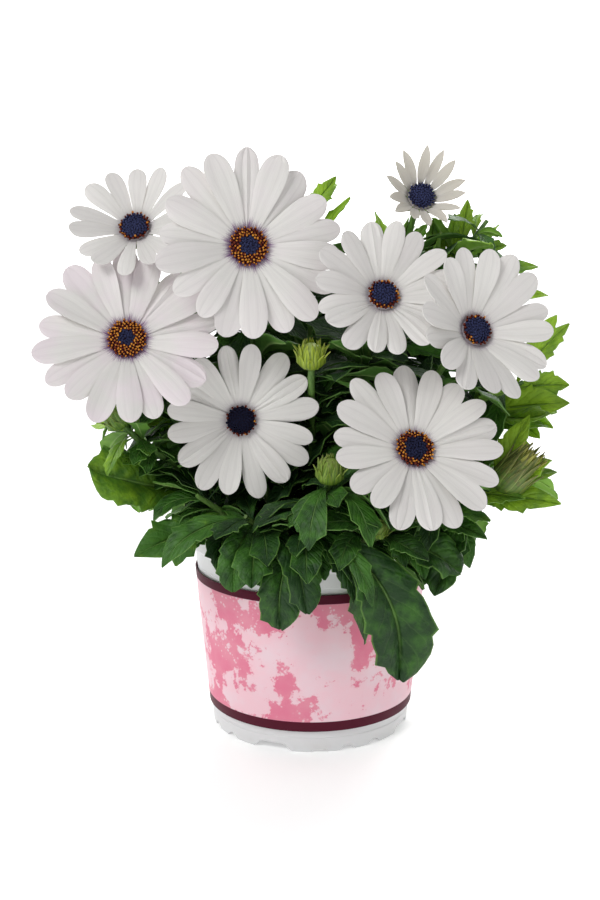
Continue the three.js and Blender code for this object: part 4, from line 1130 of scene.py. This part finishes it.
budLook = {
    "bracts": 9, "foldedRays": 22, "width": 0.3, "step": 0.05, "steps": 20, "halfOpen": 15,
    "bractThickness": 0.35, "rayThickness": 0.5,
    "body": ((0, -0.12), (0.22, -0.11), (0.6, 0.0), (0.88, 0.16), (0.98, 0.36), (0.93, 0.56), (0.74, 0.74),
             (0.45, 0.84), (0, 0.86)),  # shares of its radius and height
    "layers": ((1.02, 0.46), (0.9, 0.86), (0.72, 1.3)),  # how high the bracts reach, how far out
    "openLayers": ((1.1, 0.6), (0.96, 0.92), (0.76, 1.22)),
    "freshness": {"shoot_centre": 1, "shoot_front": 0.35, "shoot_front_right": 0.3},
    "closed": (0.1, 0.22, 0.022), "dark": (0.05, 0.12, 0.014), "fresh": (0.38, 0.47, 0.025),
    "olive": (0.14, 0.14, 0.03), "edge": (0.42, 0.52, 0.14), "tip": (0.12, 0.05, 0.04),
    "rayGreen": (0.34, 0.38, 0.06), "rayBrown": (0.11, 0.06, 0.04), "rayTip": (0.5, 0.46, 0.12),
}
cupLook = {
    "bracts": 13, "width": 1.9, "steps": 20,
    "path": ((1.6, -9.3), (3.7, -6.6), (5.6, -4.2), (6.6, -2.6), (8.6, -1.1)),  # of a bract
    "profile": ((0, -10.3), (1.3, -10.2), (2.6, -8.2), (4.3, -6), (5.6, -3.8), (5.9, -1.8), (4.6, -0.75),
                (0, -0.75)),
}


def onPath(shape, path, turn, half):  # a blade's points along a path of (radius, height), at a turn
    x, y, z = shape.T
    places = np.linspace(0, 1, len(path))
    radii, heights = np.array(path, float).T
    r, h = np.interp(x, places, radii), np.interp(x, places, heights)
    dr = np.interp(x + 0.08, places, radii) - np.interp(x - 0.08, places, radii)
    dh = np.interp(x + 0.08, places, heights) - np.interp(x - 0.08, places, heights)
    size = np.sqrt(dr * dr + dh * dh)
    r, h = r + z * half * dh / size, h - z * half * dr / size
    cos, sin = math.cos(turn), math.sin(turn)
    return np.stack([r * cos - y * half * sin, r * sin + y * half * cos, h], 1)


def laid(kind, points, stand, looks, name=None):  # a copy of a master at points in the stand's axes
    axes, origin = stand
    placed = points @ np.array(axes) + np.array(origin, float)
    return copyOf(masters[kind], placed, name or kind, looks)


def turned(name, profile, steps, stand, looks):  # a spun piece in the stand's axes
    masters[name] = spun(name, profile, steps)
    piece = laid(name, pointsOf(masters[name].data) / mm, stand, looks)
    bpy.data.objects.remove(masters.pop(name))
    return piece


def budMaterial():
    material, start, place = startMaterial("budAndCupSkin")
    _, along, fromRib = flatPlace(start)
    fresh, olive = look(start, "fresh"), look(start, "olive")
    grain = noise(start, place, 600, 3)
    colour = tint(rise(grain, 0.3, 0.8), budLook["closed"], budLook["dark"])
    colour = tint(fresh * (0.4 + 0.6 * along), colour, budLook["fresh"])
    colour = tint(olive * rise(grain + 0.6 * along, 0.5, 1), colour, budLook["olive"])
    colour = tint(rise(fromRib, 0.7, 0.95) * 0.4, colour, budLook["edge"])
    colour = tint(rise(fromRib, 0.4, 0.1) * 0.6, colour, budLook["dark"])
    colour = tint(rise(along, 0.9, 1) * 0.5, colour, budLook["tip"])
    return finishMaterial(material, colour, 0.5, grain - rise(fromRib, 0.2, 0) * 0.6, 0.5, 0.3)


def foldedRayMaterial():
    material, start, _ = startMaterial("foldedRaySkin")
    surface, along, _ = flatPlace(start)
    streak = noise(start, stretched(surface, 3, 9), 4, 3)
    colour = tint(rise(streak, 0.5, 0.72), budLook["rayGreen"], budLook["rayBrown"])
    colour = tint(rise(along, 0.5, 1) * 0.5, colour, budLook["rayTip"])
    return finishMaterial(material, colour, 0.55, streak, 0.5, 0.3)


def makeCup(bloom):
    stand = facing(bloom), bloom["at"]
    pieces = [turned("cup", cupLook["profile"], cupLook["steps"], stand, {"fresh": 0.1, "olive": 0})]
    draw = random.Random(17)
    for layer in range(2):
        for k in range(cupLook["bracts"]):
            turn = (k + 0.5 * layer) * math.tau / cupLook["bracts"]
            path = [(r + 0.25 - 0.2 * layer, h - 1.1 * layer - draw.uniform(0, 0.3))
                    for r, h in cupLook["path"]]
            points = onPath(flat["bract"], path, turn, cupLook["width"] / 2)
            pieces.append(laid("bract", points, stand, {"fresh": 0.15, "olive": 0}))
    return pieces


def makeBud(plant, index):
    radius, height = plant["bud"]
    along = plant["arrive"]
    across = unit(np.cross([0, 1, 0.01], along))
    stand = (across, np.cross(along, across), along), plant["end"]
    fresh = budLook["freshness"].get(plant["name"], 0.1)
    halfOpen = height > budLook["halfOpen"]
    looks = {"fresh": fresh, "olive": 0.9 if halfOpen else 0}
    profile = [(r * radius, h * height) for r, h in budLook["body"]]
    pieces = [turned("budBody", profile, budLook["steps"], stand, looks)]
    draw = random.Random(61 + index)
    for layer, (reach, lean) in enumerate(budLook["openLayers" if halfOpen else "layers"]):
        for k in range(budLook["bracts"]):
            turn = (k + layer / 3 + draw.uniform(-0.08, 0.08)) * math.tau / budLook["bracts"]
            top = reach * draw.uniform(0.92, 1.04)
            wide = 0.96 + budLook["step"] * layer
            path = [(radius * 0.3, -0.08 * height), (radius * wide, 0.12 * height),
                    (radius * (wide + 0.04), 0.36 * height),
                    (radius * mix(wide, lean, 0.35), 0.68 * top * height),
                    (radius * lean * (1 + 0.2 * fresh) * draw.uniform(0.9, 1.1), top * height)]
            points = onPath(flat["bract"], path, turn, radius * budLook["width"])
            pieces.append(laid("bract", points, stand, looks))
    rays = []
    for k in range(budLook["foldedRays"] if halfOpen else 0):  # they push out of the half open bud
        turn = k * 2.4 + draw.uniform(-0.2, 0.2)
        spread = math.sqrt((k + 0.5) / budLook["foldedRays"])
        path = [(radius * 0.3 * spread, 0.4 * height), (radius * 0.8 * spread, 0.7 * height),
                (radius * spread, height * draw.uniform(0.94, 1.08))]
        points = onPath(flat["bract"], path, turn, radius * 0.15)
        rays.append(laid("bract", points, stand, looks, "foldedRay"))
    return pieces, rays


masters["bract"] = bladeMaster("bract", 6, 2, "bract", "bract")
flat = {name: pointsOf(master.data) for name, master in masters.items()}
greens = {
    "leaf": leafMaterial(), "under": leafUnderMaterial(), "stem": stemMaterial(), "bud": budMaterial(),
    "foldedRay": foldedRayMaterial(),
}


def blades(pieces, name, thickness, *materials):  # thin copies joined and given their thickness
    piece = joined(pieces, name)
    coat(piece, *materials)
    applied(piece, "SOLIDIFY", thickness=thickness * mm, offset=0, material_offset=len(materials) - 1,
            use_quality_normals=True)
    return smooth(piece, 50)


def makePlant(plant, index):
    draw = random.Random(300 + index)
    leaves = []
    for kind in ("leaves", "extra", "inner"):
        for leaf in plant[kind]:
            master = "%s%d" % ("inner" if kind == "inner" else leaf["blade"], len(leaves) % 2)
            points = bendLeaf(leaf, flat[master], draw)
            inside = kind == "inner"
            light = paintedLightOn(leaf)
            # painted shade: inner leaves get half the painted light, and are painted darker the deeper they
            # sit in the mound
            if inside:
                light = 0.5 * light - innerLeaves["shade"] * max(0, 1 - heartShare(leafAt(leaf, 1)[0]))
            looks = {"tone": draw.random(), "light": light}
            leaves.append(copyOf(masters[master], points, "leaf", looks))
    parts = [coat(stemTube(plant), greens["stem"])]
    if leaves:
        parts.append(blades(leaves, "leaves", leafLook["thickness"], greens["leaf"], greens["under"]))
    pieces, rays = [], []
    if plant["bloom"]:
        pieces = makeCup(plant)
    elif "bud" in plant:
        pieces, rays = makeBud(plant, index)
    if pieces:
        parts.append(coat(pieces[0], greens["bud"]))
        parts.append(blades(pieces[1:], "bracts", budLook["bractThickness"], greens["bud"]))
    if rays:
        parts.append(blades(rays, "foldedRays", budLook["rayThickness"], greens["foldedRay"]))
    piece = joined(parts, plant["name"] + "_green")
    smooth(piece, 50)
    standIn(piece, plant["name"])


for index, plant in enumerate(plants):
    makePlant(plant, index)
print("stems, leaves and buds made")


rayLook = {
    "thickness": 0.35, "width": 0.295, "slenderWidth": 0.25, "widths": (0.88, 1.06), "start": -0.09,
    "twist": 12, "sway": 1.5, "cup": (-0.32, 0.28), "folds": (0.15, 0.75), "tipCurl": (-1.6, 0.9),
    "hub": ((0, -0.4), (4.6, -0.4), (5.6, -0.1), (5.4, 0.3), (0, 0.45)),
    "white": (0.71, 0.695, 0.665), "shade": (0.5, 0.48, 0.47), "blush": (0.74, 0.62, 0.69),
    "stain": (0.12, 0.015, 0.15), "cream": (0.62, 0.58, 0.5), "back": (0.5, 0.42, 0.48),
}
eyeLook = {
    "florets": 130, "height": 1.25, "grain": 0.36, "domeHeight": 1.5, "domeFoot": 0.25, "sunk": 0.3,
    "turn": 137.508, "edge": 0.95, "lean": 0.75, "closedWidth": 0.56, "openWidth": 0.5, "twoGrains": 0.35,
    "navy": (0.005, 0.005, 0.014), "blue": (0.05, 0.06, 0.15), "brown": (0.035, 0.006, 0.008),
    "rust": (0.17, 0.035, 0.018), "pollen": (0.5, 0.15, 0.012), "gold": (0.76, 0.36, 0.06),
}
# up to where the florets are closed, how many carry pollen, how blue the closed ones are, ray tints
lookParts = ("open", "pollen", "blue", "stain", "blush", "cream")
bloomLooks = {name: dict(zip(lookParts, row)) for name, row in {
    "1": (0.48, 0.85, 0.8, 1, 0.35, 0),
    "2": (0.4, 0.95, 0.6, 1, 0.9, 0),
    "3": (0.86, 0.25, 0.12, 0.3, 0.1, 0),
    "4": (0.76, 0.5, 1, 0.35, 0.15, 0),
    "5": (0.78, 0.22, 0.85, 0.45, 0.15, 0),
    "6": (0.6, 0.75, 0.4, 0.7, 0.15, 0),
    "7": (0.8, 0.35, 1, 0.3, 0.15, 0),
    "8": (1.2, 0, 1.2, 0.2, 0, 0.8),
}.items()}


def rayMaterial(name, underside):
    material, start, place = startMaterial(name)
    surface, along, fromRib = flatPlace(start)
    stain, blush, cream, tone = (look(start, key) for key in ("stain", "blush", "cream", "tone"))
    streaks = noise(start, stretched(surface, 1.6, 34), 1, 4)
    patches = noise(start, place, 70, 3)
    # painted shade in the two grooves along each ray
    groove = rise(abs(fromRib - 0.36), 0.16, 0.0)
    colour = tint(groove * 0.35 * streaks, rayLook["white"], rayLook["shade"])
    colour = tint(rise(streaks, 0.45, 0.75) * 0.4, colour, rayLook["shade"])
    colour = tint(rise(tone, 0.55, 1) * 0.3, colour, rayLook["shade"])
    colour = tint(rise(patches + along * 0.3, 0.45, 0.85) * blush * 0.55, colour, rayLook["blush"])
    # painted shade at the base of each ray, where the rays overlap by the eye
    colour = tint(rise(along + 0.1 * streaks, 0.3, 0.12) * 0.12, colour, rayLook["shade"])
    colour = tint(cream * rise(streaks + 0.4 * along, 0.3, 0.8), colour, rayLook["cream"])
    spread = along + 0.4 * streaks - 0.03 * stain
    colour = tint(rise(spread, 0.31, 0.26) * (stain * 0.9), colour, rayLook["stain"])
    if underside:
        colour = tint(rise(fromRib, 0.7, 0.2) * 0.35, colour, rayLook["back"])
    bump = 0.6 * streaks - groove * 0.4
    return finishMaterial(material, colour, 0.55, bump, 0.3, 0.25, Specular_IOR_Level=0.3)


def eyeMaterial():
    material, start, place = startMaterial("discFlorets")
    tip, opened, pollen, blue = (look(start, key) for key in ("tip", "opened", "pollen", "blue"))
    grain = noise(start, place, 2500, 3)
    closed = tint(rise(tip, 0.4, 1) * rise(grain, 0.3, 0.7) * blue, eyeLook["navy"], eyeLook["blue"])
    open = tint(rise(tip, 0.3, 1) * 0.6, eyeLook["brown"], eyeLook["rust"])
    dust = tint(rise(grain, 0.35, 0.65), eyeLook["pollen"], eyeLook["gold"])
    colour = tint(pollen, tint(opened, closed, open), dust)
    return finishMaterial(material, colour, 0.75, grain, 0.5, 0.1, Specular_IOR_Level=0.06)


def floretMaster():  # a closed floret: a six-sided bud drawn in to a point
    floret = added("floret", bpy.ops.mesh.primitive_cylinder_add, vertices=6, radius=0.8, depth=0.6,
                   location=(0, 0, 0.3), end_fill_type="NGON")
    settle()
    openMesh(floret)
    for lift, size in ((0.25, 1.25), (0.12, 0.6)):
        top = max(point.co.z for point in bmesh.from_edit_mesh(floret.data).verts)
        pickPoints(floret, lambda point: point.z > top - 0.001)
        bpy.ops.mesh.extrude_region_move(TRANSFORM_OT_translate={"value": (0, 0, lift)})
        bpy.ops.transform.resize(value=(size, size, 1), center_override=(0, 0, 0))
    closeMesh()
    return floret


def grainMaster():  # of pollen
    grain = added("grain", bpy.ops.mesh.primitive_ico_sphere_add, subdivisions=1, radius=1)
    openMesh(grain)
    pickPoints(grain, lambda point: point.z > 0.3)
    bpy.ops.transform.resize(value=(1.15, 1.15, 0.85), center_override=(0, 0, 0))
    closeMesh()
    return grain


bloomMasters = {
    "ray": bladeMaster("ray", 16, 6, "ray", "ray", crowding=1.5),
    "slender": bladeMaster("slenderRay", 10, 6, "slender", "slender"),
    "floret": floretMaster(), "grain": grainMaster(),
}
for name, master in bloomMasters.items():
    masters[name] = master
    flat[name] = pointsOf(master.data)
whites = (rayMaterial("rayFace", False), rayMaterial("rayBack", True))
eyeSkin = eyeMaterial()


def raysOf(bloom):  # what sets one ray apart from the next, as in the solids
    draw = chance(bloom["rays"] * 131 + round(bloom["reach"] * 10))
    for index in range(bloom["rays"]):
        layer = growth["rayLayer"] if index % 2 else -growth["rayLayer"]
        yield {
            "angle": math.radians((index + 0.5) * 360 / bloom["rays"] + 2.4 * (draw() - 0.5)),
            "lift": bloom["lift"] + layer + 1.6 * (draw() - 0.5),
            "reach": bloom["reach"] * (1 + 0.1 * (draw() - 0.5)),
            "roll": math.radians(8 * (draw() - 0.5)),
        }


def makeRays(bloom, index):
    name = "bloom_" + bloom["name"]
    stand = facing(bloom), bloom["at"]
    looks = {key: bloomLooks[bloom["name"]][key] for key in ("stain", "blush", "cream")}
    kind, width = ("slender", "slenderWidth") if looks["cream"] > 0.5 else ("ray", "width")
    x, y, z = flat[kind].T
    share = rayLook["start"] + (1 - rayLook["start"]) * x
    draw = random.Random(90 + index)
    rays = []
    for ray in raysOf(bloom):
        out, height, slope = rayLine(bloom, ray["lift"], ray["reach"], share)
        outward = np.array([math.cos(ray["angle"]), math.sin(ray["angle"]), 0])
        side = np.array([-math.sin(ray["angle"]), math.cos(ray["angle"]), 0])
        normal = upright * np.cos(slope)[:, None] - outward * np.sin(slope)[:, None]
        twist = (ray["roll"] + math.radians(draw.uniform(-1, 1) * rayLook["twist"]) * x)[:, None]
        half = rayLook[width] * ray["reach"] / 2 * draw.uniform(*rayLook["widths"])
        sideways = side * np.cos(twist) + normal * np.sin(twist)
        sway = draw.uniform(-1, 1) * rayLook["sway"] * x * x
        cup = draw.uniform(*rayLook["cup"]) * half * y * y * x
        folds = z * half * draw.uniform(*rayLook["folds"])
        tipCurl = draw.uniform(*rayLook["tipCurl"]) * np.clip((x - 0.55) / 0.45, 0, 1) ** 2
        points = outward * out[:, None] + upright * height[:, None] + side * sway[:, None] \
            + sideways * (y * half)[:, None] + normal * (folds + cup + tipCurl)[:, None]
        looks["tone"] = draw.random()
        rays.append(laid(kind, points, stand, looks, "ray"))
    fan = blades(rays, "rays", rayLook["thickness"], *whites)
    hub = turned("hub", rayLook["hub"], 24, stand, looks)
    piece = joined([fan, coat(hub, whites[1])], name + "_petals")
    standIn(piece, name + "_rays")


def makeEye(bloom, index):
    name = "bloom_" + bloom["name"]
    stand = facing(bloom), bloom["at"]
    looks = bloomLooks[bloom["name"]]
    radius = bloom["eye"]
    base = growth["hubThickness"] / 2 + growth["gap"]

    def domeAt(share):
        return base + eyeLook["domeFoot"] + eyeLook["domeHeight"] * math.sqrt(max(0, 1 - share * share))

    profile = [(0, base), (radius * 0.9, base)]
    profile += [(radius * share, domeAt(share)) for share in (0.95, 0.8, 0.6, 0.4, 0.2, 0)]
    pieces = [turned("dome", profile, 24, stand, {"tip": 0, "opened": 0.5, "pollen": 0, "blue": 0})]
    draw = random.Random(700 + index)
    count = round(eyeLook["florets"] * (radius / 7) ** 1.2)
    spacing = radius * math.sqrt(math.pi / count)
    tips = flat["floret"][:, 2] / flat["floret"][:, 2].max()
    for k in range(count):
        share = eyeLook["edge"] * math.sqrt((k + 0.5) / count)
        turn = k * math.radians(eyeLook["turn"])
        opened = share > looks["open"] * draw.uniform(0.93, 1.07)
        wide = spacing * eyeLook["openWidth" if opened else "closedWidth"] * draw.uniform(0.92, 1.08)
        tall = eyeLook["height"] * (0.75 + 0.35 * share) * draw.uniform(0.85, 1.1)
        lean = Matrix.Rotation(turn, 3, "Z") @ Matrix.Rotation(share * share * eyeLook["lean"], 3, "Y")
        place = np.array([radius * share * math.cos(turn), radius * share * math.sin(turn),
                          domeAt(share) - eyeLook["sunk"]])
        shape = flat["floret"] * np.array([wide, wide, tall]) @ np.array(lean).T + place
        values = {"tip": tips, "opened": float(opened), "pollen": 0, "blue": looks["blue"]}
        pieces.append(laid("floret", shape, stand, values))
        if opened and draw.random() < looks["pollen"]:
            top = place + np.array(lean)[:, 2] * (tall * 0.97)
            for _ in range(2 if draw.random() < eyeLook["twoGrains"] else 1):
                size = eyeLook["grain"] * draw.uniform(0.7, 1.15)
                shift = np.array([draw.uniform(-0.3, 0.3), draw.uniform(-0.3, 0.3), draw.uniform(0, 0.2)])
                values = {"tip": 1, "opened": 1, "pollen": draw.uniform(0.55, 1), "blue": 0}
                pieces.append(laid("grain", flat["grain"] * size + top + shift, stand, values))
    piece = joined(pieces, name + "_florets")
    smooth(piece, 40)
    coat(piece, eyeSkin)
    standIn(piece, name + "_eye")


for index, bloom in enumerate(blooms):
    makeRays(bloom, index)
    makeEye(bloom, index)
for master in masters.values():
    bpy.data.objects.remove(master)
print("blooms made")
